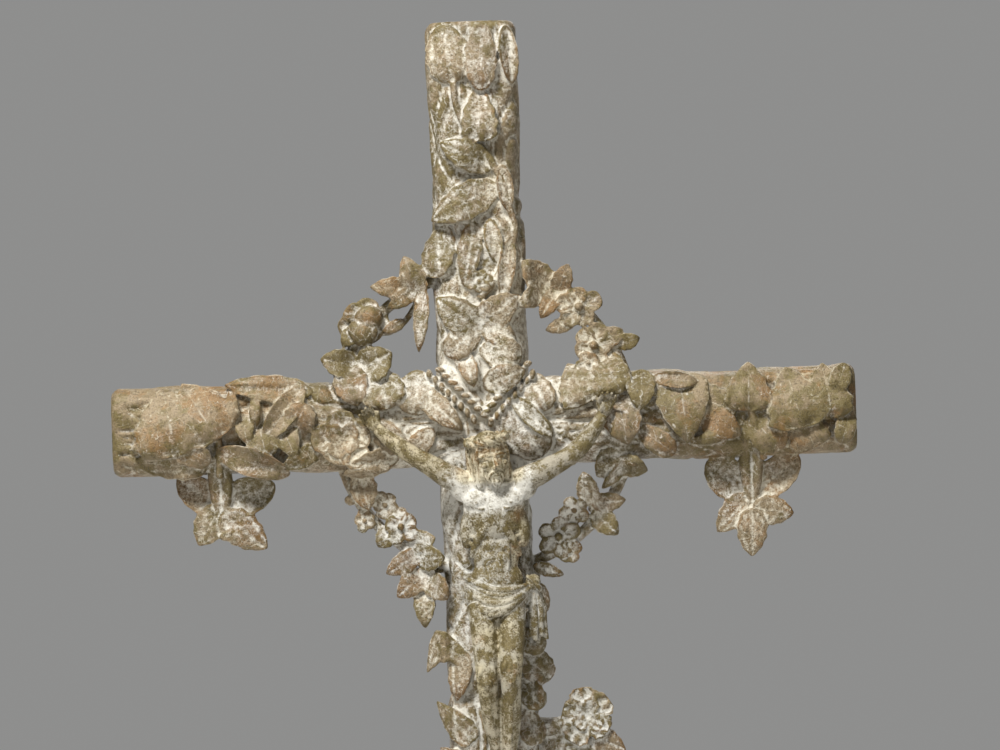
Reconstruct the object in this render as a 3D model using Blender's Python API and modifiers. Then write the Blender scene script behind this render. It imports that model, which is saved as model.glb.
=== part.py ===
"""Cast iron grave crucifix: a rustic log cross with ivy and a wreath of roses, and the corpus on its front.

Metres, +Z up, +X to the viewer's right, the front towards -Y. The origin is on the foot's underside, below
the middle of the log. Carving is laid out from the crossing, and a "rise" is always the distance forward from
the flat back of the casting.
"""

import math

import bmesh
import bpy
from mathutils import Matrix, Vector, noise

MM = 0.001

# The log cross
HEIGHT = 1.25
SPAN = 0.70
CROSSING_HEIGHT = 0.874
SHAFT_WIDTH = 0.085
BAR_HEIGHT = 0.084
LOG_DEPTH = 0.036
BACK_Y = 0.018
BARK_RELIEF = 0.0022
FOOT_WIDTH = 0.150
FOOT_DEPTH = 0.062
FOOT_FLARE_HEIGHT = 0.080

# The open back: pockets between ribs, behind walls of casting thickness
WALL = 0.009
POCKET_DEPTH = 0.025
RIB = 0.007
BAY_PITCH = 0.150
SOLID_FOOT = 0.110

# The foliage and the wreath
LEAF_THICKNESS = 0.0048
LEAF_ROOT = 0.0020
STEM_RADIUS = 0.0035
RING_RADIUS = 0.141
RING_STEM_RADIUS = 0.0055
RING_RISE = 0.011
WREATH_RISE = 0.015
PENDANT_DROP = 0.095
PENDANT_SHARE = 0.715
SPRAY_REACH = 0.085
SPRAY_DROP = 0.290
SPRAY_BLOOM = 0.026

# The corpus and how it sits on the cross
FIGURE_HEIGHT = 0.342
FIGURE_DROP = 0.058
FIGURE_SHIFT = 0.004
SEAT_RISE = 0.0425
SEAT_GAP = 0.0003
CARVING_GAP = 0.0014
FIGURE_FOOTPRINT_MARGIN = 0.006
PAD_RADIUS = 0.006

# How finely the castings are cut
CROSS_GRAIN = 0.0025
CORPUS_GRAIN = 0.0018
CROSS_KEEP = 0.026
CORPUS_KEEP = 0.045

CROSSING = Vector((0.0, 0.0, CROSSING_HEIGHT))
EDGE_SHARE = 0.86
LOG_SQUARENESS = 4.0


def clear_scene():
    for obj in list(bpy.data.objects):
        bpy.data.objects.remove(obj)


def smooth_step(t):
    t = max(0.0, min(1.0, t))
    return t * t * (3.0 - 2.0 * t)


def log_rise(share):
    """How far the log's front stands from the back plane, at a share of its half width."""
    share = min(abs(share), EDGE_SHARE)
    return LOG_DEPTH * (1.0 - share**LOG_SQUARENESS) ** (1.0 / LOG_SQUARENESS)


def ground_rise(x, z):
    """The rise of what carries the foliage at a place from the crossing: the log, or the wreath beside it."""
    past_shaft = max(0.0, abs(x) - SHAFT_WIDTH / 2)
    past_bar = max(0.0, abs(z) - BAR_HEIGHT / 2, abs(x) - SPAN / 2)
    on_shaft = log_rise(x / (SHAFT_WIDTH / 2)) if past_shaft == 0.0 else 0.0
    on_bar = log_rise(z / (BAR_HEIGHT / 2)) if past_bar == 0.0 else 0.0
    if past_shaft == 0.0 or past_bar == 0.0:
        return max(on_shaft, on_bar)
    fade = math.exp(-((min(past_shaft, past_bar) / 0.010) ** 2))
    return WREATH_RISE + (log_rise(EDGE_SHARE) - WREATH_RISE) * fade


def figure_point(across, up, rise=0.0):
    """A point of the corpus, in hundredths of its height from the pit of the neck, as x, rise and z."""
    unit = FIGURE_HEIGHT / 100
    return Vector((FIGURE_SHIFT + across * unit, SEAT_RISE + rise * unit, -FIGURE_DROP + up * unit))


# The corpus's main lines: (across, up, rise, radius) in hundredths of its height
LEFT_ARM = [
    (-7.0, 0.0, 3.6, 3.6), (-11.0, 1.9, 4.0, 3.6), (-15.5, 5.0, 3.8, 3.0), (-20.5, 8.0, 3.4, 2.6),
    (-24.0, 10.4, 3.1, 2.7), (-28.0, 13.6, 2.6, 2.0), (-30.5, 16.0, 2.0, 1.7),
]
RIGHT_ARM = [
    (7.0, 0.0, 3.6, 3.6), (11.5, 1.4, 4.0, 3.6), (17.0, 4.0, 3.8, 3.0), (22.6, 7.0, 3.4, 2.6),
    (25.8, 10.0, 3.1, 2.7), (29.6, 14.8, 2.6, 2.0), (31.4, 17.6, 2.0, 1.7),
]
LEFT_LEG = [
    (-3.6, -33.0, 4.2, 4.2), (-3.1, -40.0, 6.4, 3.7), (-2.8, -47.0, 8.8, 3.4), (-2.7, -53.5, 10.2, 3.0),
    (-2.4, -58.5, 8.6, 2.7), (-1.6, -66.0, 5.8, 2.7), (-0.4, -73.0, 3.4, 1.9), (0.2, -78.5, 1.8, 1.7),
]
RIGHT_LEG = [
    (4.6, -33.0, 4.2, 4.2), (4.5, -40.0, 6.8, 3.7), (4.2, -46.5, 9.4, 3.4), (3.7, -52.2, 11.0, 3.0),
    (3.8, -57.5, 9.4, 2.7), (3.6, -65.0, 6.8, 2.8), (2.8, -73.0, 5.2, 1.9), (2.2, -78.0, 4.4, 1.8),
]
TRUNK_LINE = [(0.6, -2.0, 3.0, 8.0), (0.6, -12.0, 3.0, 8.0), (0.8, -24.0, 3.0, 7.0), (0.8, -34.0, 3.0, 8.0)]
HEAD_LINE = [(0.6, 3.0, 3.0, 4.0), (-0.6, 10.0, 3.0, 5.5)]
CLOTH_LINE = [(11.0, -27.0, 1.5, 2.6), (11.8, -43.0, 1.5, 2.6)]
LEFT_HAND = (-3.0, 4.6)
RIGHT_HAND = (1.8, 5.2)
SOLES = (0.5, -85.0)


def near_figure(x, z):
    """Whether a place on the cross lies behind the corpus, or close beside it."""
    place = Vector((x, z))
    unit = FIGURE_HEIGHT / 100
    for line in (LEFT_ARM, RIGHT_ARM, LEFT_LEG, RIGHT_LEG, TRUNK_LINE, HEAD_LINE, CLOTH_LINE):
        for start, end in zip(line, line[1:]):
            a = figure_point(*start[:3])
            b = figure_point(*end[:3])
            a, b = Vector((a.x, a.z)), Vector((b.x, b.z))
            along = max(0.0, min(1.0, (place - a).dot(b - a) / (b - a).length_squared))
            reach = max(start[3], end[3]) * unit + FIGURE_FOOTPRINT_MARGIN
            if (place - a.lerp(b, along)).length < reach:
                return True
    return False


# How each kind of leaf is shaped: two powers of its outline (a low second one gives a blunt end), how much its
# edges hang or stand up, its arch, and how far its base and its tip stand off what carries it in mm
LEAF_KINDS = {
    "drape": (0.80, 0.30, -0.02, 0.001, -1.0, 6.5), "leaf": (0.50, 0.80, -0.03, 0.002, 1.0, 5.0),
    "pad": (0.50, 0.45, -0.02, 0.001, 0.5, 5.5), "wedge": (0.25, 0.90, -0.04, 0.002, 2.0, 6.0),
    "fold": (0.50, 0.60, 0.20, 0.001, 3.0, 5.0), "rim": (0.60, 0.60, -0.28, 0.003, 1.5, 3.0),
    "petal": (0.70, 0.42, 0.13, 0.001, 0.0, 0.0),
}


class Pattern:
    """The overlapping shapes of one casting, gathered in one mesh until they are cast as a single skin."""

    def __init__(self):
        self.mesh = bmesh.new()
        self.stays_behind_figure = False

    def place(self, x, rise, z):
        """A point at x and z from the crossing and at a rise from the back, in the frame of the whole cross."""
        if self.stays_behind_figure and rise > SEAT_RISE - CARVING_GAP and near_figure(x, z):
            rise = SEAT_RISE - CARVING_GAP
        return CROSSING + Vector((x, BACK_Y - rise, z))

    def add(self, shape):
        mesh = bpy.data.meshes.new("shape")
        bmesh.ops.recalc_face_normals(shape, faces=shape.faces[:])
        shape.to_mesh(mesh)
        shape.free()
        self.mesh.from_mesh(mesh)
        bpy.data.meshes.remove(mesh)

    def ball(self, centre, radii, turn=0.0, segments=14):
        """An ellipsoid at (x, rise, z), with radii across, forward and up, turned in the plane of the cross."""
        shape = bmesh.new()
        bmesh.ops.create_uvsphere(shape, u_segments=segments, v_segments=segments // 2 + 2, radius=1.0)
        spin = Matrix.Rotation(turn, 3, "Y")
        for vert in shape.verts:
            out = spin @ Vector((vert.co.x * radii[0], vert.co.y * radii[1], vert.co.z * radii[2]))
            vert.co = self.place(centre[0] + out.x, centre[1] - out.y, centre[2] + out.z)
        self.add(shape)

    def tube(self, points, radii):
        """A round bar through points given as (x, rise, z), with a radius at each."""
        curve = bpy.data.curves.new("bar", "CURVE")
        curve.dimensions = "3D"
        curve.bevel_depth = 1.0
        curve.bevel_resolution = 3
        curve.use_fill_caps = True
        spline = curve.splines.new("NURBS")
        spline.points.add(len(points) - 1)
        spline.order_u = 3
        spline.use_endpoint_u = True
        spline.resolution_u = 4
        for knot, point, radius in zip(spline.points, points, radii):
            knot.co = (*self.place(*point), 1.0)
            knot.radius = radius
        bar = bpy.data.objects.new("bar", curve)
        bpy.context.collection.objects.link(bar)
        graph = bpy.context.evaluated_depsgraph_get()
        mesh = bpy.data.meshes.new_from_object(bar.evaluated_get(graph))
        bpy.data.objects.remove(bar)
        bpy.data.curves.remove(curve)
        shape = bmesh.new()
        shape.from_mesh(mesh)
        bpy.data.meshes.remove(mesh)
        bmesh.ops.remove_doubles(shape, verts=shape.verts[:], dist=0.01 * MM)
        self.add(shape)

    def blade(self, base, tip, width, kind="leaf", rises=None, bend=0.0, heart=0.10, rows=10, columns=6):
        """A leaf or petal from base to tip, both (x, z) from the crossing.

        It follows what carries it and is solid down to there, unless rises gives its own for base and tip.
        """
        first, second, cup, arch, base_lift, tip_lift = LEAF_KINDS[kind]
        base, tip = Vector(base), Vector(tip)
        along = tip - base
        across = Vector((-along.y, along.x)).normalized()
        widest = first / (first + second)
        swell = widest**first * (1.0 - widest) ** second
        shape = bmesh.new()
        bmesh.ops.create_grid(shape, x_segments=rows, y_segments=columns, size=0.5)
        for vert in shape.verts:
            u, v = 0.5 - 0.5 * math.cos(math.pi * (vert.co.x + 0.5)), 2.0 * vert.co.y
            bow = math.sin(math.pi * u)
            half = width / 2 * max(u**first * (1.0 - u) ** second / swell, 0.02)
            down = u - heart * v * v * (1.0 - u) ** 3
            spot = base + along * down + across * (v * half + bend * bow * along.length)
            if rises:
                rise = rises[0] + (rises[1] - rises[0]) * u
            else:
                rise = ground_rise(spot.x, spot.y) + MM * (base_lift + (tip_lift - base_lift) * smooth_step(u))
            rise += arch * bow + cup * width * (v * v - 0.4) * bow
            vert.co = self.place(spot.x, rise, spot.y)
        rear = bmesh.ops.extrude_face_region(shape, geom=shape.faces[:])["geom"]
        for vert in (element for element in rear if isinstance(element, bmesh.types.BMVert)):
            floor = BACK_Y - vert.co.y - LEAF_THICKNESS
            if not rises:
                floor = min(floor, ground_rise(vert.co.x, vert.co.z - CROSSING_HEIGHT) - LEAF_ROOT)
            vert.co.y = BACK_Y - floor
        self.add(shape)

    def whorl(self, centre, radius, rise, petals, wide, steep, turn):
        """Petals round a centre, none quite like the next."""
        for index in range(petals):
            angle = turn + index * 2 * math.pi / petals + 0.16 * math.sin(index * 5.1 + 300.0 * centre[0])
            reach = radius * (1.0 + 0.11 * math.sin(index * 2.4 + 200.0 * centre[1]))
            tip = (centre[0] + reach * math.cos(angle), centre[1] + reach * math.sin(angle))
            rises = (rise, rise + steep * radius)
            self.blade(centre, tip, radius * wide, "petal", rises, heart=0.0, rows=6, columns=6)

    def flower(self, centre, radius, rise, petals=5, turn=0.3):
        """A small open bloom with a button in the middle."""
        self.whorl(centre, radius, rise, petals, 4.6 / petals, 0.12, turn)
        self.ball((centre[0], rise + 0.10 * radius, centre[1]), (radius * 0.26,) * 3, segments=10)

    def dog_rose(self, centre, radius, rise, turn=0.0):
        """A wide bloom whose petals curl back round a deep middle."""
        self.whorl(centre, radius, rise, 5, 0.98, 0.22, turn)
        self.whorl(centre, radius * 0.62, rise - 0.001, 4, 0.95, 0.42, turn + 0.5)
        self.ball((centre[0], rise - 0.10 * radius, centre[1]), (radius * 0.26,) * 3, segments=10)

    def rosebud(self, centre, radius, rise):
        """A swelling bud with its outer petals thrown open behind it."""
        x, z = centre
        self.whorl((x - 0.09 * radius, z + 0.27 * radius), radius, rise - 0.09 * radius, 6, 0.95, 0.12, 0.2)
        self.ball((x + 0.13 * radius, rise + 0.13 * radius, z + 0.35 * radius),
                  (radius * 0.62, radius * 0.46, radius * 0.56), -0.5)
        self.ball((x - 0.09 * radius, rise + 0.22 * radius, z - 0.27 * radius),
                  (radius * 0.55, radius * 0.50, radius * 0.55))

    def cast(self, name, grain, keep, material):
        """One object of all the shapes: a single skin, thinned to facets."""
        mesh = bpy.data.meshes.new(name)
        self.mesh.to_mesh(mesh)
        self.mesh.free()
        casting = bpy.data.objects.new(name, mesh)
        casting.data.materials.append(material)
        skin = casting.modifiers.new("skin", "REMESH")
        skin.mode = "VOXEL"
        skin.voxel_size = grain
        fillets = casting.modifiers.new("fillets", "SMOOTH")
        fillets.factor = 0.5
        fillets.iterations = 2
        facets = casting.modifiers.new("facets", "DECIMATE")
        facets.ratio = keep
        return casting


def iron(name, colour, roughness):
    material = bpy.data.materials.new(name)
    material.use_nodes = True
    shader = material.node_tree.nodes["Principled BSDF"]
    shader.inputs["Base Color"].default_value = (*colour, 1.0)
    shader.inputs["Roughness"].default_value = roughness
    shader.inputs["Metallic"].default_value = 0.2
    return material


def box(name, low, high, collection):
    """A plain block between two corners, for cutting."""
    shape = bmesh.new()
    bmesh.ops.create_cube(shape, size=1.0)
    low, high = Vector(low), Vector(high)
    for vert in shape.verts:
        vert.co = Vector(((low[i] + high[i]) / 2 + vert.co[i] * (high[i] - low[i]) for i in range(3)))
    return cutter(name, shape, collection)


def cutter(name, shape, collection):
    """An object that a Boolean uses and no render shows."""
    mesh = bpy.data.meshes.new(name)
    shape.to_mesh(mesh)
    shape.free()
    block = bpy.data.objects.new(name, mesh)
    block.hide_render = True
    block.display_type = "WIRE"
    collection.objects.link(block)
    return block


def log(pattern, start, end, half_width, upright, flare=0.0):
    """A rounded log along X or Z, from start to end, with bark waves. Its rear half falls behind the back."""
    length = end - start
    rings = int(length / 0.008)
    shape = bmesh.new()
    bmesh.ops.create_cone(shape, cap_ends=True, segments=32, radius1=1.0, radius2=1.0, depth=1.0)
    sides = [e for e in shape.edges if abs(e.verts[0].co.z - e.verts[1].co.z) > 0.5]
    bmesh.ops.subdivide_edges(shape, edges=sides, cuts=rings)
    power = 2.0 / LOG_SQUARENESS
    for vert in shape.verts:
        share = vert.co.z + 0.5
        place = start + share * length
        angle = math.atan2(vert.co.y, vert.co.x)
        across = math.copysign(abs(math.cos(angle)) ** power, math.cos(angle))
        forward = -math.copysign(abs(math.sin(angle)) ** power, math.sin(angle))
        spread = math.exp(-(((place + CROSSING_HEIGHT) / FOOT_FLARE_HEIGHT) ** 2)) * flare
        wide = half_width + spread * (FOOT_WIDTH / 2 - half_width)
        deep = LOG_DEPTH + spread * (FOOT_DEPTH - LOG_DEPTH)
        end_rounding = 1.0 - 0.06 * max(0.0, 1.0 - min(share, 1.0 - share) * length / 0.006)
        wave = noise.noise(Vector((across * 1.6, place * 14.0, 3.0 + forward + 7.0 * upright)))
        ridge = noise.noise(Vector((across * 6.0, place * 9.0, 11.0 + forward)))
        swell = 1.0 + (0.6 * wave + 0.4 * ridge) * BARK_RELIEF / half_width * 2.0
        side = across * wide * swell * end_rounding
        x, z = (side, place) if upright else (place, side)
        rise = forward * (deep * end_rounding + BARK_RELIEF * (wave + ridge))
        vert.co = pattern.place(x, rise, z)
    pattern.add(shape)


# The drawing that the leaves and stems on the logs are read off has these sizes in mm: half the span and half
# the bar's height, then half the shaft's width and the arms above and below the crossing
DRAWN_BAR = (350.0, 42.0)
DRAWN_SHAFT = (42.5, 376.0, 874.0)

# Leaves on the bar: base and tip in mm from the crossing, the width in mm and the kind
BAR_LEAVES = [
    (-322, -28, -262, -36, 26, "pad"), (-296, -10, -258, -30, 26, "pad"), (-300, 36, -288, -23, 76, "drape"),
    (-280, 40, -249, -8, 60, "drape"), (-226, 14, -222, -14, 18, "leaf"), (-168, 34, -243, 42, 26, "leaf"),
    (-237, 36, -233, 10, 11, "rim"), (-214, 31, -214, 2, 11, "rim"), (-212, 8, -204, -27, 32, "pad"),
    (-172, 34, -206, -10, 25, "fold"), (-190, 2, -176, -30, 26, "wedge"), (-180, -8, -166, 22, 30, "pad"),
    (-158, -22, -190, -38, 20, "leaf"), (-246, -22, -184, -44, 27, "fold"), (-104, 2, -76, -26, 26, "pad"),
    (-50, -8, -72, -31, 22, "pad"), (-60, 46, -66, 8, 38, "pad"), (-98, 48, -90, 14, 42, "pad"),
    (-128, 54, -118, 18, 33, "leaf"), (-86, -30, -134, -46, 24, "leaf"), (-58, 28, -20, -8, 24, "leaf"),
    (14, 26, 54, -35, 50, "pad"), (46, 40, 60, 8, 28, "pad"), (30, 18, 64, -17, 18, "fold"),
    (82, 48, 98, 13, 46, "drape"), (112, 60, 130, 22, 33, "pad"), (126, 16, 134, -27, 37, "leaf"),
    (150, 40, 146, 5, 26, "leaf"), (148, -14, 178, -37, 24, "pad"), (196, 18, 237, 0, 31, "pad"),
    (206, -2, 241, -21, 29, "leaf"), (196, -26, 229, -20, 12, "rim"), (164, 35, 201, 30, 16, "fold"),
    (185, 32, 190, -28, 52, "wedge"), (252, -6, 278, -38, 34, "pad"), (294, -4, 310, -36, 40, "drape"),
    (250, 43, 248, 1, 45, "drape"), (286, 36, 298, -17, 58, "drape"), (320, 39, 326, -9, 44, "drape"),
    (341, 40, 329, 17, 20, "pad"), (343, -2, 334, -33, 20, "pad"),
]

# Leaves on the shaft over and under the bar, in the same way
SHAFT_LEAVES = [
    (-26, 368, -18, 318, 42, "pad"), (10, 367, 8, 310, 30, "pad"), (33, 366, 38, 316, 18, "fold"),
    (6, 312, 5, 262, 35, "drape"), (12, 240, -33, 262, 29, "leaf"), (26, 236, 30, 196, 16, "fold"),
    (14, 218, -43, 189, 35, "leaf"), (-30, 180, -45, 136, 30, "pad"), (-4, 182, -14, 126, 23, "leaf"),
    (12, 186, 18, 148, 17, "fold"), (30, 166, 22, 114, 17, "fold"), (-4, 86, -34, 63, 28, "pad"),
    (-2, 84, -41, 117, 34, "leaf"), (4, 88, 33, 76, 25, "leaf"), (-2, 90, 37, 117, 31, "leaf"),
    (-16, 62, -8, 32, 18, "leaf"), (2, 66, 38, 60, 31, "pad"), (4, 34, 41, 47, 26, "leaf"),
    (-28, -219, -35, -262, 22, "leaf"), (-24, -297, -54, -262, 26, "wedge"), (-20, -332, -52, -306, 22, "leaf"),
    (28, -219, 55, -245, 30, "pad"), (25, -245, 46, -271, 24, "pad"), (24, -200, 50, -216, 24, "pad"),
    (30, -276, 40, -306, 26, "pad"), (-10, -350, -48, -372, 28, "leaf"),
]

# The stems on the logs, through (x, z) in mm: a vine on the upper arm, a stalk over the crossing and two twigs
VINE = [
    (-18, 318), (-17, 300), (-12, 285), (-5, 270), (12, 250), (20, 235), (27, 220), (30, 200), (38, 178),
    (25, 150), (15, 130), (0, 115),
]
STALK = [(-28, 90), (-26, 68), (-19, 45), (-9, 26), (0, 11)]
LEFT_TWIG = [(-250, 6), (-249, -18), (-250, -45)]
RIGHT_TWIG = [(250, 4), (256, -20), (262, -45)]

# The wreath's leaves: (across, up) of base and tip in hundredths of the ring's radius, and the width in mm
WREATH_LEAVES = [
    (-40, 86, -50, 112, 24), (-44, 90, -73, 92, 21), (-38, 87, -42, 47, 15), (-43, 88, -62, 77, 15),
    (-84, 64, -93, 53, 17), (-52, 68, -66, 61, 12), (-85, 40, -108, 45, 27), (-81, 36, -60, 48, 34),
    (47, 88, 29, 106, 28), (47, 89, 26, 75, 22), (52, 84, 60, 103, 20), (51, 84, 40, 67, 17),
    (61, 64, 43, 59, 15), (81, 50, 95, 58, 20), (92, 48, 106, 52, 16), (-84, -33, -79, -57, 26),
    (-65, -72, -74, -82, 20), (-52, -80, -35, -77, 21), (-48, -88, -69, -100, 21), (-47, -91, -29, -90, 24),
    (-45, -101, -62, -116, 23), (-42, -103, -28, -118, 24), (-44, -108, -44, -137, 21),
    (88, -25, 74, -40, 27), (89, -31, 108, -37, 22), (92, -34, 77, -48, 12), (69, -57, 65, -36, 21),
    (72, -58, 93, -56, 19), (72, -64, 87, -79, 23), (31, -98, 50, -105, 13), (33, -111, 38, -129, 13),
]

# The wreath's blooms: (across, up) in hundredths of the ring's radius, the radius in mm, and petals
WREATH_FLOWERS = [
    (66, 74, 21, 5), (75, 48, 20, 5), (71, 36, 12, 5), (-82, -64, 11, 5), (-68, -54, 13, 5),
    (-58, -69, 17, 5), (58, -62, 14, 5), (47, -79, 20, 6), (54, -89, 12, 5),
]
BUD = (-77, 65)
BUD_RADIUS = 0.0225
ROSE = (-94, -9)
ROSE_RADIUS = 0.028
BERRY = (-91, -50)
TENDRIL = [(-38, 87), (-47, 72), (-56, 63), (-66, 60), (-72, 64)]
SPURS = [
    ((-76, 66), (-82, 40)), ((-60, 80), (-42, 88)), ((-44, -86), (-44, -112)), ((-46, -98), (-30, -98)),
    ((68, -60), (76, -62)), ((36, -92), (30, -108)), ((50, 84), (62, 78)), ((-36, 92), (-26, 95)),
]

# The pendants under the bar: base and tip in hundredths of the drop from the bar's underside, the width in mm
# and the kind
LEFT_PENDANT = [
    (-3, -34, -43, -2, 32, "fold"), (4, -30, 54, -12, 36, "fold"), (-3, -35, -24, -70, 32, "leaf"),
    (4, -42, 44, -75, 34, "leaf"), (0, -62, 25, -58, 11, "leaf"),
]
RIGHT_PENDANT = [
    (-6, -36, -44, -4, 38, "fold"), (5, -36, 48, -1, 34, "fold"), (-5, -42, -36, -74, 28, "leaf"),
    (4, -52, 41, -58, 28, "leaf"), (-1, -56, -2, -100, 29, "leaf"),
]

# The spray beside the corpus's shins: base and tip in hundredths of its reach from the shaft's side, and the
# width in mm
SPRAY_LEAVES = [
    (50, -8, 95, -30, 26), (25, -12, 62, -48, 26), (20, 2, 42, -22, 20), (-10, -10, 36, -16, 30),
    (0, -22, 30, -42, 26),
]


def off_bar(x, z):
    """A place on the bar, read in mm off the drawing, in metres on this cross."""
    return x * SPAN / 2 / DRAWN_BAR[0], z * BAR_HEIGHT / 2 / DRAWN_BAR[1]


def off_shaft(x, z):
    """A place on the shaft, read in mm off the drawing, in metres on this cross."""
    stretch = (HEIGHT - CROSSING_HEIGHT) / DRAWN_SHAFT[1] if z > 0 else CROSSING_HEIGHT / DRAWN_SHAFT[2]
    return x * SHAFT_WIDTH / 2 / DRAWN_SHAFT[0], z * stretch


def lay_leaves(pattern):
    for leaves, off_drawing in ((BAR_LEAVES, off_bar), (SHAFT_LEAVES, off_shaft)):
        for a, b, c, d, width, kind in leaves:
            pattern.blade(off_drawing(a, b), off_drawing(c, d), width * MM, kind)
    pattern.blade(off_shaft(-25, -226), off_shaft(-62, -235), 31 * MM, bend=-0.54)


def lay_climbing_ivy(pattern):
    """Ivy that winds up the shaft from the foot to the corpus's feet."""
    bottom, top = -0.90 * CROSSING_HEIGHT, -0.42 * CROSSING_HEIGHT
    stem = []
    turns = 14
    for index in range(turns + 1):
        z = bottom + (top - bottom) * index / turns
        x = 0.42 * SHAFT_WIDTH * math.sin(index * 0.9)
        stem.append((x, ground_rise(x, z) + STEM_RADIUS * 0.3, z))
        if 0 < index < turns:
            side = math.copysign(1.0, math.cos(index * 0.9))
            tip = (x + side * 0.030, z + 0.020 - 0.012 * (index % 2))
            pattern.blade((x, z), tip, 0.036, ("leaf", "pad")[index % 2], heart=0.30)
    pattern.tube(stem, [STEM_RADIUS] * len(stem))


def lay_stems(pattern):
    stems = [(VINE, off_shaft), (STALK, off_shaft), (LEFT_TWIG, off_bar), (RIGHT_TWIG, off_bar)]
    for line, off_drawing in stems:
        points = [off_drawing(x, z) for x, z in line]
        pattern.tube([(x, ground_rise(x, z) + 0.001, z) for x, z in points], [STEM_RADIUS] * len(points))


def lay_wheat(pattern):
    """Two ears of wheat behind the head, crossing in a V: grains in two ranks along each stalk."""
    grains = 8
    for side in (-1, 1):
        start, end = Vector((side * 0.003, 0.002)), Vector((side * 0.049, 0.052))
        along = (end - start).normalized()
        across = Vector((-along.y, along.x))
        for index in range(grains):
            for rank in (-1, 1):
                spot = start.lerp(end, (index + 0.5 * (rank > 0)) / grains) + across * rank * 0.0042
                lean = math.atan2(along.x, along.y) + rank * 0.45
                rise = ground_rise(spot.x, spot.y) + 0.003
                pattern.ball((spot.x, rise, spot.y), (0.0032, 0.0040, 0.0062), lean, 8)
        stalk = [(p.x, ground_rise(p.x, p.y), p.y) for p in (start, start.lerp(end, 0.5), end)]
        pattern.tube(stalk, [0.003] * 3)


def lay_wreath(pattern):
    ring = []
    for step in range(37):
        angle = math.radians(10 * step)
        ring.append((math.cos(angle) * RING_RADIUS, RING_RISE, math.sin(angle) * RING_RADIUS))
    pattern.tube(ring, [RING_STEM_RADIUS] * len(ring))
    unit = RING_RADIUS / 100
    for a, b, c, d, width in WREATH_LEAVES:
        pattern.blade((a * unit, b * unit), (c * unit, d * unit), width * MM)
    for x, z, radius, petals in WREATH_FLOWERS:
        rise = ground_rise(x * unit, z * unit) + 0.003
        pattern.flower((x * unit, z * unit), radius * MM, rise, petals, turn=x * 0.1)
    pattern.rosebud((BUD[0] * unit, BUD[1] * unit), BUD_RADIUS, WREATH_RISE)
    pattern.dog_rose((ROSE[0] * unit, ROSE[1] * unit), ROSE_RADIUS, LOG_DEPTH + 0.001, turn=0.4)
    pattern.ball((BERRY[0] * unit, WREATH_RISE, BERRY[1] * unit), (0.006, 0.005, 0.005), segments=8)
    pattern.tube([(x * unit, RING_RISE, z * unit) for x, z in TENDRIL], [0.003] * len(TENDRIL))
    for (a, b), (c, d) in SPURS:
        ends = [(a * unit, RING_RISE, b * unit), (c * unit, RING_RISE, d * unit)]
        pattern.tube([ends[0], tuple((p + q) / 2 for p, q in zip(*ends)), ends[1]], [0.0042] * 3)


def lay_pendants(pattern):
    unit = PENDANT_DROP / 100
    for side, leaves in ((-1, LEFT_PENDANT), (1, RIGHT_PENDANT)):
        x0, z0 = side * PENDANT_SHARE * SPAN / 2, -BAR_HEIGHT / 2
        for index, (a, b, c, d, width, kind) in enumerate(leaves):
            base = (x0 + a * unit, z0 + b * unit)
            tip = (x0 + c * unit, z0 + d * unit)
            pattern.blade(base, tip, width * MM, kind, (0.014 + 0.002 * index, 0.016))
        for lean in (-1, 1):
            stalk = [(x0 + lean * 0.002, 0.030, z0 + 0.028), (x0 + lean * 0.006, 0.024, z0 + 0.004),
                     (x0 + lean * 0.005, 0.016, z0 - 0.020), (x0, 0.013, z0 - 0.58 * PENDANT_DROP)]
            pattern.tube(stalk, [0.004, 0.0065, 0.0060, 0.0040])


def lay_spray(pattern):
    """A bloom and leaves that stand out to the right of the shins."""
    unit = SPRAY_REACH / 100
    x0, z0 = SHAFT_WIDTH / 2, -SPRAY_DROP
    stem = [(x0 - 0.012, 0.018, z0), (x0 + 12 * unit, 0.016, z0 - 0.002), (x0 + 35 * unit, 0.014, z0 + 0.004),
            (x0 + 50 * unit, 0.013, z0 + 0.006)]
    pattern.tube(stem, [0.011, 0.009, 0.007, 0.006])
    for a, b, c, d, width in SPRAY_LEAVES:
        base = (x0 + a * unit, z0 + b * unit)
        tip = (x0 + c * unit, z0 + d * unit)
        pattern.blade(base, tip, width * MM, rises=(0.013, 0.016))
    pattern.dog_rose((x0 + 52 * unit, z0 + 10 * unit), SPRAY_BLOOM, 0.015, turn=0.5)


def lay_roots(pattern):
    """Roots that grip the ground round the foot."""
    half = FOOT_WIDTH / 2
    for index in range(7):
        angle = math.radians(12 + 26 * index)
        x = half * 0.90 * math.cos(angle)
        rise = FOOT_DEPTH * (0.15 + 0.80 * math.sin(angle))
        pattern.tube([(x * 0.45, rise * 0.50, -CROSSING_HEIGHT + FOOT_FLARE_HEIGHT * 1.1),
                      (x * 0.80, rise * 0.85, -CROSSING_HEIGHT + FOOT_FLARE_HEIGHT * 0.45),
                      (x, rise, -CROSSING_HEIGHT - 0.010)], [0.007, 0.011, 0.014])


def fixing_pads():
    """Where the corpus is bolted on: behind the palms, the chest, the hips and the feet."""
    palms = [(arm[-1][0] + hand[0] * 0.38, arm[-1][1] + hand[1] * 0.38)
             for arm, hand in ((LEFT_ARM, LEFT_HAND), (RIGHT_ARM, RIGHT_HAND))]
    feet = (SOLES[0], SOLES[1] + 4.0)
    return [figure_point(*place[:2]) for place in (*palms, TRUNK_LINE[1], TRUNK_LINE[3], feet)]


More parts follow.
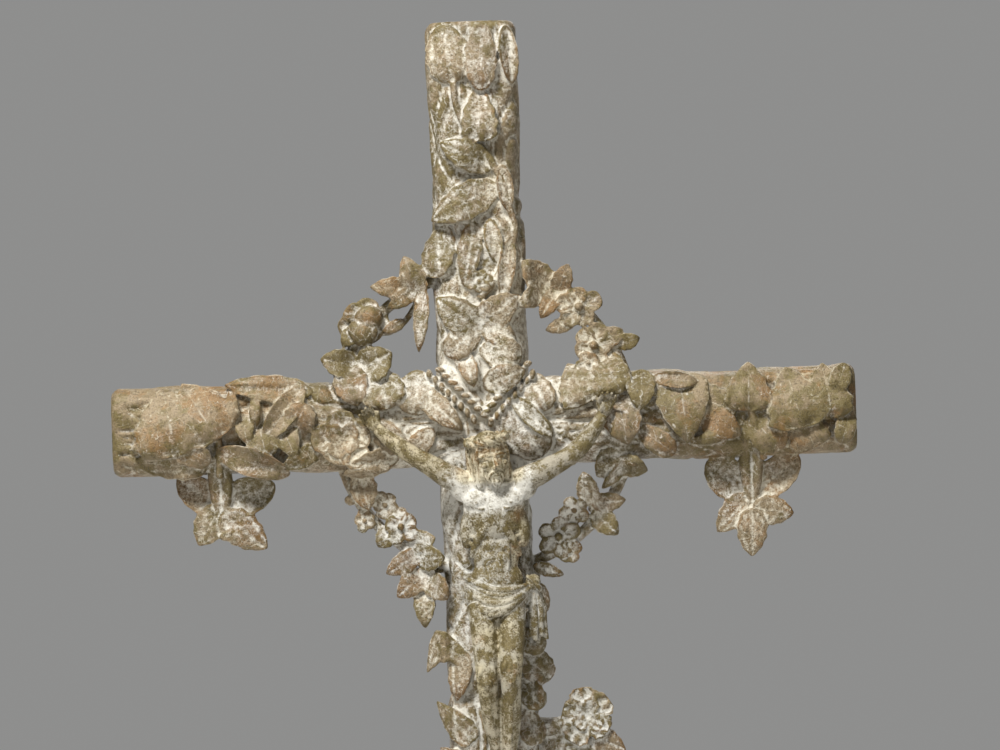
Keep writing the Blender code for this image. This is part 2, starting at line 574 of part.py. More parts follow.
def build_cross(material, cutters):
    pattern = Pattern()
    pattern.stays_behind_figure = True
    log(pattern, -CROSSING_HEIGHT - 0.006, HEIGHT - CROSSING_HEIGHT, SHAFT_WIDTH / 2, True, flare=1.0)
    log(pattern, -SPAN / 2, SPAN / 2, BAR_HEIGHT / 2, False)
    lay_leaves(pattern)
    lay_climbing_ivy(pattern)
    lay_stems(pattern)
    lay_wheat(pattern)
    lay_wreath(pattern)
    lay_pendants(pattern)
    lay_spray(pattern)
    lay_roots(pattern)
    pattern.flower(off_shaft(0, 131), 0.012, LOG_DEPTH + 0.003, 6)
    cross = pattern.cast("cross", CROSS_GRAIN, CROSS_KEEP, material)

    reach = 2.0
    keep = box("flat_back_and_foot", (-reach, -reach, 0.0), (reach, BACK_Y, reach), cutters)
    flat = cross.modifiers.new("flat back and foot", "BOOLEAN")
    flat.operation = "INTERSECT"
    flat.object = keep
    add_pockets(cutters)
    hollow = cross.modifiers.new("open back", "BOOLEAN")
    hollow.operation = "DIFFERENCE"
    hollow.operand_type = "COLLECTION"
    hollow.collection = bpy.data.collections["pockets"]
    for index, spot in enumerate(fixing_pads()):
        add_pad(cross, f"pad_{index}", spot, cutters)
    return cross


def bays(low, high):
    """A run of the back from low to high as open bays with ribs between them."""
    count = max(1, round((high - low + RIB) / BAY_PITCH))
    size = (high - low + RIB) / count
    return [(low + index * size, low + (index + 1) * size - RIB) for index in range(count)]


def add_pockets(cutters):
    """The open back's bays, each a block cut from behind."""
    pockets = bpy.data.collections.new("pockets")
    pockets.hide_render = True
    cutters.children.link(pockets)
    front, behind = BACK_Y - POCKET_DEPTH, BACK_Y + WALL
    half_shaft, half_bar = SHAFT_WIDTH / 2 - WALL, BAR_HEIGHT / 2 - WALL
    low_bar, high_bar = CROSSING_HEIGHT - half_bar, CROSSING_HEIGHT + half_bar
    for low, high in bays(SOLID_FOOT, low_bar - RIB) + bays(high_bar + RIB, HEIGHT - WALL):
        box("shaft_bay", (-half_shaft, front, low), (half_shaft, behind, high), pockets)
    box("crossing_bay", (-half_shaft, front, low_bar), (half_shaft, behind, high_bar), pockets)
    for low, high in bays(half_shaft + RIB, SPAN / 2 - WALL):
        box("right_bay", (low, front, low_bar), (high, behind, high_bar), pockets)
        box("left_bay", (-high, front, low_bar), (-low, behind, high_bar), pockets)


def add_pad(cross, name, spot, cutters):
    """A round boss with a flat face that the corpus is bolted against."""
    shape = bmesh.new()
    top, bottom = SEAT_RISE - SEAT_GAP, POCKET_DEPTH + 0.004
    bmesh.ops.create_cone(shape, cap_ends=True, segments=12, radius1=PAD_RADIUS, radius2=PAD_RADIUS,
                          depth=top - bottom)
    turn = Matrix.Rotation(math.pi / 2, 4, "X")
    centre = CROSSING + Vector((spot.x, BACK_Y - (top + bottom) / 2, spot.z))
    bmesh.ops.transform(shape, matrix=Matrix.Translation(centre) @ turn, verts=shape.verts[:])
    join = cross.modifiers.new(name, "BOOLEAN")
    join.operation = "UNION"
    join.object = cutter(name, shape, cutters)


def figure_tube(pattern, line):
    unit = FIGURE_HEIGHT / 100
    pattern.tube([figure_point(*p[:3]) for p in line], [p[3] * unit for p in line])


def figure_ball(pattern, centre, radii, turn=0.0):
    """A muscle or bone of the corpus: centre and radii in hundredths of its height, turned in degrees."""
    unit = FIGURE_HEIGHT / 100
    pattern.ball(figure_point(*centre), [r * unit for r in radii], math.radians(turn), segments=20)


def build_trunk(pattern):
    figure_ball(pattern, (0.6, -7.4, 2.8), (8.4, 5.4, 10.4))
    figure_ball(pattern, (0.8, -19.0, 2.6), (6.5, 3.9, 9.0))
    figure_ball(pattern, (0.8, -27.0, 2.8), (7.4, 4.9, 6.5))
    figure_ball(pattern, (1.1, -24.0, 4.4), (4.4, 3.0, 5.0))
    for side in (-1, 1):
        figure_ball(pattern, (0.8 + side * 4.3, -4.4, 5.6), (4.6, 3.0, 3.4), side * -16)
        figure_ball(pattern, (0.8 + side * 8.0, -1.0, 3.4), (4.0, 3.6, 4.0), side * -30)
        figure_tube(pattern, [(0.8 + side * 0.5, -9.2, 6.8, 1.3), (0.8 + side * 3.2, -12.2, 6.6, 1.5),
                              (0.8 + side * 5.6, -16.0, 5.0, 1.5), (0.8 + side * 6.6, -19.6, 3.0, 1.2)])
        for rib in range(2):
            figure_tube(pattern, [(0.8 + side * 3.6, -8.6 - 2.6 * rib, 6.4 - 0.4 * rib, 0.9),
                                  (0.8 + side * 6.8, -9.2 - 2.6 * rib, 4.8, 1.0),
                                  (0.8 + side * 8.0, -8.0 - 2.6 * rib, 2.4, 0.9)])
    figure_tube(pattern, [(0.6, -2.0, 3.6, 3.6), (0.6, 1.4, 4.6, 2.8), (0.4, 5.0, 5.6, 2.9)])


def build_head(pattern):
    """The head leans to the viewer's left and looks down, with long hair, a beard and a twisted crown."""
    tilt = -7
    figure_ball(pattern, (-0.3, 9.4, 6.2), (5.5, 5.6, 5.6), tilt)
    figure_ball(pattern, (-0.5, 3.6, 4.6), (5.8, 3.8, 6.0), tilt)
    figure_ball(pattern, (0.7, 5.4, 8.4), (3.7, 4.2, 5.0), tilt)
    figure_ball(pattern, (1.2, 0.6, 9.0), (2.6, 2.8, 2.6), tilt)
    figure_ball(pattern, (0.9, 5.6, 12.4), (0.7, 1.0, 1.7), tilt)
    figure_ball(pattern, (0.6, 7.8, 11.4), (2.9, 0.9, 0.8), tilt)
    crown = []
    for index in range(13):
        angle = index * math.pi / 6
        crown.append((-0.4 + 5.4 * math.cos(angle) + 0.4 * math.sin(angle), 11.8 + 0.4 * math.sin(angle),
                      5.2 - 5.6 * math.sin(angle), 1.15))
    figure_tube(pattern, crown)
    for side, fall in ((-1, 0.0), (1, 1.5)):
        for lock in range(3):
            x = side * (4.2 + 0.5 * lock) - 0.4
            figure_tube(pattern, [(x, 10.5 - lock, 6.6 - 1.2 * lock, 1.3),
                                  (x + side * 0.9, 6.5 - lock + fall, 6.0 - 1.2 * lock, 1.5),
                                  (x + side * 0.2, 2.6 - lock + fall, 5.6 - 1.0 * lock, 1.4),
                                  (x + side * 0.6, -0.4 - lock + fall, 5.2 - 0.8 * lock, 0.9)])


def build_hand(pattern, wrist, reach):
    """A palm, four bent fingers and a thumb from the wrist along reach, given as (across, up)."""
    wrist, reach = Vector(wrist[:2]), Vector(reach)
    along = reach.normalized()
    across = Vector((-along.y, along.x))
    inward = across * math.copysign(1.0, -wrist.x * across.x)
    turn = math.degrees(math.atan2(along.x, along.y))
    palm = wrist + reach * 0.38
    figure_ball(pattern, (palm.x, palm.y, 1.0), (2.1, 1.3, 2.7), turn)
    for finger in range(4):
        root = wrist + reach * 0.66 + across * (finger - 1.5) * 1.05
        knuckle, tip = root + along * 1.7, root + along * 2.6
        figure_tube(pattern, [(root.x, root.y, 1.0, 0.78), (knuckle.x, knuckle.y, 2.0, 0.72),
                              (tip.x, tip.y, 2.8, 0.60)])
    root, tip = palm + inward * 1.4, palm + inward * 2.8 + along * 1.8
    middle = (root + tip) / 2
    figure_tube(pattern, [(root.x, root.y, 1.2, 0.9), (middle.x, middle.y, 2.0, 0.8),
                          (tip.x, tip.y, 2.4, 0.62)])


def build_feet(pattern):
    """The feet, the right one laid over the left."""
    for ankle, toes in ((LEFT_LEG[-1], (SOLES[0] - 0.6, SOLES[1] - 0.4, 0.8)),
                        (RIGHT_LEG[-1], (SOLES[0] + 1.4, SOLES[1], 3.4))):
        middle = ((ankle[0] + toes[0]) / 2, (ankle[1] + toes[1]) / 2 - 0.4, (ankle[2] + toes[2]) / 2 + 0.9)
        figure_tube(pattern, [(*ankle[:3], 1.8), (*middle, 2.0), (*toes, 1.4)])


def build_loincloth(pattern):
    """A wrapped cloth whose folds sag from the left hip to a knot at the right, where its end hangs."""
    figure_ball(pattern, (0.9, -31.2, 3.2), (8.7, 5.4, 5.6))
    knot = (11.0, -27.6, 3.2)
    folds = 5
    for index in range(folds):
        share = index / (folds - 1)
        left = (-8.0 + 0.4 * share, -25.6 - 8.4 * share, 2.6)
        sag = 3.0 + 1.4 * math.sin(math.pi * share)
        points = []
        for step in range(6):
            t = step / 5
            bow = math.sin(math.pi * t)
            points.append((left[0] + (knot[0] - 0.6 - left[0]) * t,
                           left[1] + (knot[1] - 1.6 * share - left[1]) * t**1.6 - sag * bow,
                           left[2] + 0.8 * t + (5.4 + 0.8 * share) * bow**0.7, 1.25 + 0.25 * bow))
        figure_tube(pattern, points)
    figure_ball(pattern, (-2.4, -34.8, 8.0), (2.8, 1.7, 1.8), 20)
    figure_ball(pattern, (4.4, -35.4, 7.2), (3.4, 1.7, 1.6), -12)
    figure_ball(pattern, knot, (2.5, 2.8, 2.9), 15)
    for strand in range(3):
        x = 10.0 + 1.6 * strand
        figure_tube(pattern, [(knot[0] - 0.2, knot[1] - 0.6, 3.0, 1.4), (x, -33.0, 3.2 - 0.4 * strand, 1.6),
                              (x + 0.8 - 0.5 * strand, -38.0, 2.8, 1.5), (x + 0.2, -43.2, 2.2, 1.3)])


def build_corpus(material, cutters):
    pattern = Pattern()
    build_trunk(pattern)
    build_head(pattern)
    figure_tube(pattern, LEFT_ARM)
    figure_tube(pattern, RIGHT_ARM)
    build_hand(pattern, LEFT_ARM[-1], LEFT_HAND)
    build_hand(pattern, RIGHT_ARM[-1], RIGHT_HAND)
    figure_tube(pattern, LEFT_LEG)
    figure_tube(pattern, RIGHT_LEG)
    build_feet(pattern)
    build_loincloth(pattern)
    corpus = pattern.cast("corpus", CORPUS_GRAIN, CORPUS_KEEP, material)
    reach = 2.0
    keep = box("flat_seat", (-reach, -reach, 0.0), (reach, BACK_Y - SEAT_RISE, reach), cutters)
    flat = corpus.modifiers.new("flat seat", "BOOLEAN")
    flat.operation = "INTERSECT"
    flat.object = keep
    return corpus


def main():
    clear_scene()
    parts = bpy.data.collections.new("Grave crucifix")
    cutters = bpy.data.collections.new("Cutters")
    for collection in (parts, cutters):
        bpy.context.scene.collection.children.link(collection)
    cross = build_cross(iron("weathered iron", (0.36, 0.31, 0.22), 0.72), cutters)
    corpus = build_corpus(iron("weathered iron, limed", (0.52, 0.47, 0.40), 0.75), cutters)
    parts.objects.link(cross)
    parts.objects.link(corpus)


main()
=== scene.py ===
"""The cast iron grave crucifix, dressed: a log cross with ivy and a wreath of roses, and the corpus on it.

Places on the cross are x and z from the crossing. A "rise" is the distance forward from the flat back.
"""

import math

import bpy
import numpy as np
from mathutils import Euler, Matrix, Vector, noise


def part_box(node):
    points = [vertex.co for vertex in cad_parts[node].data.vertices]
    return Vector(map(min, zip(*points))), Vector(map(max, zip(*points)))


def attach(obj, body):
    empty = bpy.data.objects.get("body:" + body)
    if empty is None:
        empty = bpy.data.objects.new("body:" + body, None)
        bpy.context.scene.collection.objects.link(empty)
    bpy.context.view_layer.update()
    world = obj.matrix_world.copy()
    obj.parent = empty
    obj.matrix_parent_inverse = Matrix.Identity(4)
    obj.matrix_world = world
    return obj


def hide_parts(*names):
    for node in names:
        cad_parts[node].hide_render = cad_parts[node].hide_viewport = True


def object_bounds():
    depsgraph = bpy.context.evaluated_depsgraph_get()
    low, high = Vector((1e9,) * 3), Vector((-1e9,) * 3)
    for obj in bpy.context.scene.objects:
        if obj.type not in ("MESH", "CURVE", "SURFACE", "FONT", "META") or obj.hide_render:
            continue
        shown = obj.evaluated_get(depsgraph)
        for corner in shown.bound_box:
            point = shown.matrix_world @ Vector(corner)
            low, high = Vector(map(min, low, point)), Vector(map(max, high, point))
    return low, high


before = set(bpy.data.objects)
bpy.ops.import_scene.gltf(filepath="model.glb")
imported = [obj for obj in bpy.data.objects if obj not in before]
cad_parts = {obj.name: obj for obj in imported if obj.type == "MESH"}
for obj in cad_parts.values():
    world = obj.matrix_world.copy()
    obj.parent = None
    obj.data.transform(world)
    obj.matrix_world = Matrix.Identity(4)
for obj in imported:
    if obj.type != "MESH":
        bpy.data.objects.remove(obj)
cad_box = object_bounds()


# The log cross
# Two split logs laid over each other, moulded from carved patterns and cast in one. They are D-shaped, with
# gouged bark, open at the back in bays between ribs, and spread into roots where they meet the ground.

cross_low, cross_high = (Vector(corner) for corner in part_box("cross"))
SPAN = cross_high.x - cross_low.x
HEIGHT = cross_high.z
BACK_Y = cross_high.y
CROSSING_HEIGHT = 0.6992 * HEIGHT
HALF_SHAFT = 0.0425
HALF_BAR = 0.0420
LOG_DEPTH = 0.036
LOG_SQUARENESS = 4.0
LOG_COLUMNS = 104
FLAT_SHARE = 0.20
EDGE_SHARE = 0.86
END_ROUNDING = 0.007
FOOT_HALF_WIDTH = 0.075
FOOT_DEPTH = 0.062
FOOT_FLARE_HEIGHT = 0.080
WALL = 0.009
RIB = 0.007
POCKET_DEPTH = 0.025
POCKET_DRAFT = 0.0012
SOLID_FOOT = 0.110
BARK_STEP = 0.0021
BARK_WAVE = 0.0032
BARK_GOUGE = 0.0038
BARK_FIBRE = 0.0009

casting = []


def points_of(piece):
    points = np.empty(len(piece.data.vertices) * 3)
    piece.data.vertices.foreach_get("co", points)
    return points.reshape(-1, 3)


def move_points(piece, points):
    piece.data.vertices.foreach_set("co", np.ascontiguousarray(points, dtype=np.float64).ravel())
    piece.data.update()


def on_cross(x, rise, z):
    """Places on the cross as world points."""
    return np.column_stack((x, BACK_Y - rise, CROSSING_HEIGHT + z))


def smooth_step(low, high, value):
    share = np.clip((value - low) / (high - low), 0.0, 1.0)
    return share * share * (3.0 - 2.0 * share)


def log_rise(share):
    share = np.minimum(np.abs(share), EDGE_SHARE)
    return LOG_DEPTH * (1.0 - share**LOG_SQUARENESS) ** (1.0 / LOG_SQUARENESS)


def bays(low, high, count):
    size = (high - low + RIB) / count
    return [(low + index * size, low + (index + 1) * size - RIB) for index in range(count)]


def pocket_depth(x, z):
    """How deep the open back is at a place: full inside a bay, with drafted walls."""
    inner_shaft, inner_bar = HALF_SHAFT - WALL, HALF_BAR - WALL
    foot, top = SOLID_FOOT - CROSSING_HEIGHT, HEIGHT - CROSSING_HEIGHT - WALL
    openings = [(-inner_shaft, inner_shaft, -inner_bar, inner_bar)]
    for low, high in bays(foot, -inner_bar - RIB, 5) + bays(inner_bar + RIB, top, 2):
        openings.append((-inner_shaft, inner_shaft, low, high))
    for low, high in bays(inner_shaft + RIB, SPAN / 2 - WALL, 2):
        openings += [(low, high, -inner_bar, inner_bar), (-high, -low, -inner_bar, inner_bar)]
    depth = np.zeros(len(x))
    for left, right, low, high in openings:
        inside = np.minimum(np.minimum(x - left, right - x), np.minimum(z - low, high - z))
        depth = np.maximum(depth, smooth_step(-POCKET_DRAFT, POCKET_DRAFT, inside))
    return depth * POCKET_DEPTH


def bark(across, along, seed):
    """The bark at places in metres across and along a log: broad waves, narrow gouges and fine fibre."""
    relief = np.empty(len(across))
    for index, (a, b) in enumerate(zip(across, along)):
        warp = noise.noise(Vector((a * 30.0, b * 12.0, seed)))
        wave = noise.noise(Vector((a * 30.0 + warp, b * 15.0, seed + 4.0)))
        crest = abs(noise.noise(Vector((a * 62.0 + 1.6 * warp, b * 16.0 + warp, seed + 8.0))))
        gouge = max(0.0, 1.0 - crest / 0.17) ** 1.4
        fibre = noise.noise(Vector((a * 300.0 + 3.0 * warp, b * 40.0, seed + 12.0)))
        relief[index] = BARK_WAVE * wave - BARK_GOUGE * gouge + BARK_FIBRE * fibre
    return relief


def roll_log(start, end, half_width, upright, seed):
    """A log between two places along X or Z: a sheet rolled to a D and closed at both ends."""
    bpy.ops.object.select_all(action="DESELECT")
    rows = int((end - start) / BARK_STEP)
    bpy.ops.mesh.primitive_grid_add(x_subdivisions=LOG_COLUMNS, y_subdivisions=rows, size=1.0)
    log = bpy.context.object
    sheet = points_of(log)
    turn = sheet[:, 0] + 0.5
    along = start + (sheet[:, 1] + 0.5) * (end - start)
    angle = np.clip((turn - FLAT_SHARE) / (1.0 - 2.0 * FLAT_SHARE), 0.0, 1.0) * math.pi
    spread = np.abs(np.cos(angle)) ** LOG_SQUARENESS + np.sin(angle) ** LOG_SQUARENESS
    reach = spread ** (-1.0 / LOG_SQUARENESS)
    front = (turn > FLAT_SHARE) & (turn < 1.0 - FLAT_SHARE)
    back_share = np.where(turn <= FLAT_SHARE, turn / FLAT_SHARE, -(1.0 - turn) / FLAT_SHARE)
    across = np.where(front, reach * np.cos(angle), back_share)
    forward = np.where(front, reach * np.sin(angle), 0.0)
    flare = np.exp(-(((along + CROSSING_HEIGHT) / FOOT_FLARE_HEIGHT) ** 2)) if upright else 0.0
    wide = half_width + flare * (FOOT_HALF_WIDTH - half_width)
    deep = LOG_DEPTH + flare * (FOOT_DEPTH - LOG_DEPTH)
    to_end = np.minimum(along - start, end - along)
    rounding = 1.0 - 0.10 * np.clip(1.0 - to_end / END_ROUNDING, 0.0, 1.0) ** 2
    girth = across * wide + forward * 0.5 * wide * np.sign(across)
    relief = bark(girth, along, seed) * front * smooth_step(0.0, 0.012, to_end)
    side = across * wide * rounding + relief * np.sign(across) * smooth_step(0.75, 1.0, np.abs(across))
    rise = forward * deep * rounding + relief * smooth_step(0.2, 0.8, forward)
    x, z = (side, along) if upright else (along, side)
    rise = np.where(front, rise, pocket_depth(x, z))
    move_points(log, on_cross(x, rise, z))
    bpy.ops.object.mode_set(mode="EDIT")
    bpy.ops.mesh.select_all(action="SELECT")
    bpy.ops.mesh.remove_doubles(threshold=0.00001)
    bpy.ops.mesh.fill_holes(sides=0)
    bpy.ops.mesh.select_all(action="SELECT")
    bpy.ops.mesh.normals_make_consistent(inside=False)
    bpy.ops.object.mode_set(mode="OBJECT")
    casting.append(log)


roll_log(-CROSSING_HEIGHT, HEIGHT - CROSSING_HEIGHT, HALF_SHAFT, True, 3.0)
roll_log(-SPAN / 2, SPAN / 2, HALF_BAR, False, 21.0)


# The leaves
# Ivy and bindweed leaves modelled from nature and pressed on the logs before moulding. They lie over each
# other like wet cloth, with their lower edges proud, and carry a midrib and side veins.

RING_RADIUS = 0.141
WREATH_RISE = 0.015
LEAF_THICKNESS = 0.0044
LEAF_ROOT = 0.0020
LEAF_WOBBLE = 0.0012
TIP_DROOP = 0.0028
OVERLAP_GAP = 0.0006
MOST_OVERLAP = 0.006
VEIN_DEPTH = 0.0011
SIDE_VEINS = 6.5
VEIN_SLANT = 1.9
PETAL_VEINING = 0.4
SEAT_RISE = 0.0425
CARVING_GAP = 0.0014
FIGURE_HEIGHT = 0.342
FIGURE_DROP = 0.058
FIGURE_SHIFT = 0.004
FIGURE_MARGIN = 0.005
UNIT = FIGURE_HEIGHT / 100

# The corpus's limbs as (across, up, rise, radius), in hundredths of its height from the pit of the neck
LEFT_ARM = [(-7.0, 0.0, 3.6, 3.6), (-11.0, 1.9, 4.0, 3.6), (-15.5, 5.0, 3.8, 3.0), (-20.5, 8.0, 3.4, 2.6),
            (-24.0, 10.4, 3.1, 2.7), (-28.0, 13.6, 2.6, 2.0), (-30.5, 16.0, 2.0, 1.7)]
RIGHT_ARM = [(7.0, 0.0, 3.6, 3.6), (11.5, 1.4, 4.0, 3.6), (17.0, 4.0, 3.8, 3.0), (22.6, 7.0, 3.4, 2.6),
             (25.8, 10.0, 3.1, 2.7), (29.6, 14.8, 2.6, 2.0), (31.4, 17.6, 2.0, 1.7)]
LEFT_LEG = [(-3.6, -33.0, 4.2, 4.2), (-3.1, -40.0, 6.4, 3.7), (-2.8, -47.0, 8.8, 3.4),
            (-2.7, -53.5, 10.2, 3.0), (-2.4, -58.5, 8.6, 2.7), (-1.6, -66.0, 5.8, 2.7),
            (-0.4, -73.0, 3.4, 1.9), (0.2, -78.5, 1.8, 1.7)]
RIGHT_LEG = [(4.6, -33.0, 4.2, 4.2), (4.5, -40.0, 6.8, 3.7), (4.2, -46.5, 9.4, 3.4), (3.7, -52.2, 11.0, 3.0),
             (3.8, -57.5, 9.4, 2.7), (3.6, -65.0, 6.8, 2.8), (2.8, -73.0, 5.2, 1.9), (2.2, -78.0, 4.4, 1.8)]
TRUNK = [(0.6, -2.0, 3.0, 8.0), (0.6, -12.0, 3.0, 8.0), (0.8, -24.0, 3.0, 7.0), (0.8, -34.0, 3.0, 8.0)]
HEAD = [(0.6, 3.0, 3.0, 4.0), (-0.6, 10.0, 3.0, 5.5)]
CLOTH_END = [(11.0, -27.0, 1.5, 2.6), (11.8, -43.0, 1.5, 2.6)]

# How each kind of leaf is shaped: two powers of its outline (a low second one gives a blunt end), how far its
# edges hang or stand up, its arch in metres, how far its base and its tip stand off what carries it in mm,
# and how wavy its edge is
LEAF_KINDS = {
    "drape": (0.80, 0.30, -0.04, 0.001, -1.0, 7.0, 0.075),
    "leaf": (0.50, 0.80, -0.04, 0.002, 1.0, 5.5, 0.050),
    "pad": (0.50, 0.45, -0.05, 0.001, 0.5, 6.0, 0.050),
    "wedge": (0.25, 0.90, -0.06, 0.002, 2.0, 6.5, 0.030),
    "fold": (0.50, 0.60, 0.20, 0.001, 3.0, 5.0, 0.020),
    "rim": (0.60, 0.60, -0.28, 0.003, 1.5, 3.0, 0.0),
    "petal": (0.70, 0.42, 0.13, 0.001, 0.0, 0.0, 0.040),
    "shell": (0.50, 0.45, -0.20, 0.003, 0.0, 0.0, 0.0),
    "ruffle": (0.70, 0.28, 0.12, 0.002, 0.0, 0.0, 0.150),
}

# Leaves on the bar: base and tip in mm from the crossing, the width in mm and the kind; the lower ones first
BAR_LEAVES = [
    (-322, -28, -262, -36, 26, "pad"), (-296, -10, -258, -30, 26, "pad"), (-300, 36, -288, -23, 76, "drape"),
    (-280, 40, -249, -8, 60, "drape"), (-226, 14, -222, -14, 18, "leaf"), (-168, 34, -243, 42, 26, "leaf"),
    (-237, 36, -233, 10, 11, "rim"), (-214, 31, -214, 2, 11, "rim"), (-212, 8, -204, -27, 32, "pad"),
    (-172, 34, -206, -10, 25, "fold"), (-190, 2, -176, -30, 26, "wedge"), (-180, -8, -166, 22, 30, "pad"),
    (-158, -22, -190, -38, 20, "leaf"), (-246, -22, -184, -44, 27, "fold"), (-104, 2, -76, -26, 26, "pad"),
    (-50, -8, -72, -31, 22, "pad"), (-60, 46, -66, 8, 38, "pad"), (-98, 48, -90, 14, 42, "pad"),
    (-128, 54, -118, 18, 33, "leaf"), (-86, -30, -134, -46, 24, "leaf"), (-58, 28, -20, -8, 24, "leaf"),
    (14, 26, 54, -35, 50, "pad"), (46, 40, 60, 8, 28, "pad"), (30, 18, 64, -17, 18, "fold"),
    (82, 48, 98, 13, 46, "drape"), (112, 60, 130, 22, 33, "pad"), (126, 16, 134, -27, 37, "leaf"),
    (150, 40, 146, 5, 26, "leaf"), (148, -14, 178, -37, 24, "pad"), (196, 18, 237, 0, 31, "pad"),
    (206, -2, 241, -21, 29, "leaf"), (196, -26, 229, -20, 12, "rim"), (164, 35, 201, 30, 16, "fold"),
    (185, 32, 190, -28, 52, "wedge"), (252, -6, 278, -38, 34, "pad"), (294, -4, 310, -36, 40, "drape"),
    (250, 43, 248, 1, 45, "drape"), (286, 36, 298, -17, 58, "drape"), (320, 39, 326, -9, 44, "drape"),
    (341, 40, 329, 17, 20, "pad"), (343, -2, 334, -33, 20, "pad"),
]

# Leaves on the shaft over and under the bar, in the same way
SHAFT_LEAVES = [
    (-26, 368, -18, 318, 42, "pad"), (10, 367, 8, 310, 30, "pad"), (33, 366, 38, 316, 18, "fold"),
    (6, 312, 5, 262, 35, "drape"), (12, 240, -33, 262, 29, "leaf"), (26, 236, 30, 196, 16, "fold"),
    (14, 218, -43, 189, 35, "leaf"), (-30, 180, -45, 136, 30, "pad"), (-4, 182, -14, 126, 23, "leaf"),
    (12, 186, 18, 148, 17, "fold"), (30, 166, 22, 114, 17, "fold"), (-4, 86, -34, 63, 28, "pad"),
    (-2, 84, -41, 117, 34, "leaf"), (4, 88, 33, 76, 25, "leaf"), (-2, 90, 37, 117, 31, "leaf"),
    (-16, 62, -8, 32, 18, "leaf"), (2, 66, 38, 60, 31, "pad"), (4, 34, 41, 47, 26, "leaf"),
    (-28, -219, -35, -262, 22, "leaf"), (-24, -297, -54, -262, 26, "wedge"),
    (-20, -332, -52, -306, 22, "leaf"), (28, -219, 55, -245, 30, "pad"), (25, -245, 46, -271, 24, "pad"),
    (24, -200, 50, -216, 24, "pad"), (30, -276, 40, -306, 26, "pad"), (-10, -350, -48, -372, 28, "leaf"),
]

# The wreath's leaves: (across, up) of base and tip in hundredths of the ring's radius, then width in mm
WREATH_LEAVES = [
    (-40, 86, -50, 112, 24), (-44, 90, -73, 92, 21), (-38, 87, -42, 47, 15), (-43, 88, -62, 77, 15),
    (-84, 64, -93, 53, 17), (-52, 68, -66, 61, 12), (-85, 40, -108, 45, 27), (-81, 36, -60, 48, 34),
    (47, 88, 29, 106, 28), (47, 89, 26, 75, 22), (52, 84, 60, 103, 20), (51, 84, 40, 67, 17),
    (61, 64, 43, 59, 15), (81, 50, 95, 58, 20), (92, 48, 106, 52, 16), (-84, -33, -79, -57, 26),
    (-65, -72, -74, -82, 20), (-52, -80, -35, -77, 21), (-48, -88, -69, -100, 21), (-47, -91, -29, -90, 24),
    (-45, -101, -62, -116, 23), (-42, -103, -28, -118, 24), (-44, -108, -44, -137, 21),
    (88, -25, 74, -40, 27), (89, -31, 108, -37, 22),
    (92, -34, 77, -48, 12), (69, -57, 65, -36, 21), (72, -58, 93, -56, 19), (72, -64, 87, -79, 23),
    (31, -98, 50, -105, 13), (33, -111, 38, -129, 13),
]

# The pendants' and the spray's leaves: base and tip in hundredths of the drop or the reach, then width in mm
PENDANT_DROP = 0.095
PENDANT_PLACE = 0.715 * SPAN / 2
LEFT_PENDANT = [(-3, -34, -43, -2, 32), (4, -30, 54, -12, 36), (-3, -35, -24, -70, 32), (4, -42, 44, -75, 34),
                (0, -62, 25, -58, 11)]
RIGHT_PENDANT = [(-6, -36, -44, -4, 38), (5, -36, 48, -1, 34), (-5, -42, -36, -74, 28), (4, -52, 41, -58, 28),
                 (-1, -56, -2, -100, 29)]
SPRAY_REACH = 0.085
SPRAY_DROP = 0.290
SPRAY_LEAVES = [(50, -8, 95, -30, 26), (25, -12, 62, -48, 26), (20, 2, 42, -22, 20), (-10, -10, 36, -16, 30),
                (0, -22, 30, -42, 26)]


def ground_rise(x, z):
    """The rise of what carries the foliage: the log, or the wreath beside it."""
    past_shaft = np.maximum(0.0, np.abs(x) - HALF_SHAFT)
    past_bar = np.maximum(0.0, np.maximum(np.abs(z) - HALF_BAR, np.abs(x) - SPAN / 2))
    on_shaft = np.where(past_shaft == 0.0, log_rise(x / HALF_SHAFT), 0.0)
    on_bar = np.where(past_bar == 0.0, log_rise(z / HALF_BAR), 0.0)
    fade = np.exp(-((np.minimum(past_shaft, past_bar) / 0.010) ** 2))
    beside = WREATH_RISE + (log_rise(EDGE_SHARE) - WREATH_RISE) * fade
    return np.where((past_shaft == 0.0) | (past_bar == 0.0), np.maximum(on_shaft, on_bar), beside)


def behind_figure(x, rise, z):
    """The carving stays under the corpus, so that the figure can be bolted against its bosses."""
    near = np.zeros(len(x), dtype=bool)
    for line in (LEFT_ARM, RIGHT_ARM, LEFT_LEG, RIGHT_LEG, TRUNK, HEAD, CLOTH_END):
        for start, end in zip(line, line[1:]):
            a = np.array((FIGURE_SHIFT + start[0] * UNIT, start[1] * UNIT - FIGURE_DROP))
            run = np.array(((end[0] - start[0]) * UNIT, (end[1] - start[1]) * UNIT))
            along = np.clip(((x - a[0]) * run[0] + (z - a[1]) * run[1]) / run.dot(run), 0.0, 1.0)
            away = np.hypot(x - a[0] - along * run[0], z - a[1] - along * run[1])
            near |= away < max(start[3], end[3]) * UNIT + FIGURE_MARGIN
    return np.where(near, np.minimum(rise, SEAT_RISE - CARVING_GAP), rise)


def map_leaf(piece, u, v, tone, veined):
    """Keeps each point's place along and across its leaf, the leaf's tone and how clearly it is veined."""
    rows = np.column_stack((u, v * 0.5 + 0.5, np.full(len(u), tone), np.full(len(u), veined)))
    layer = piece.data.color_attributes.new("leaf_map", "FLOAT_COLOR", "POINT")
    layer.data.foreach_set("color", rows.astype(np.float32).ravel())


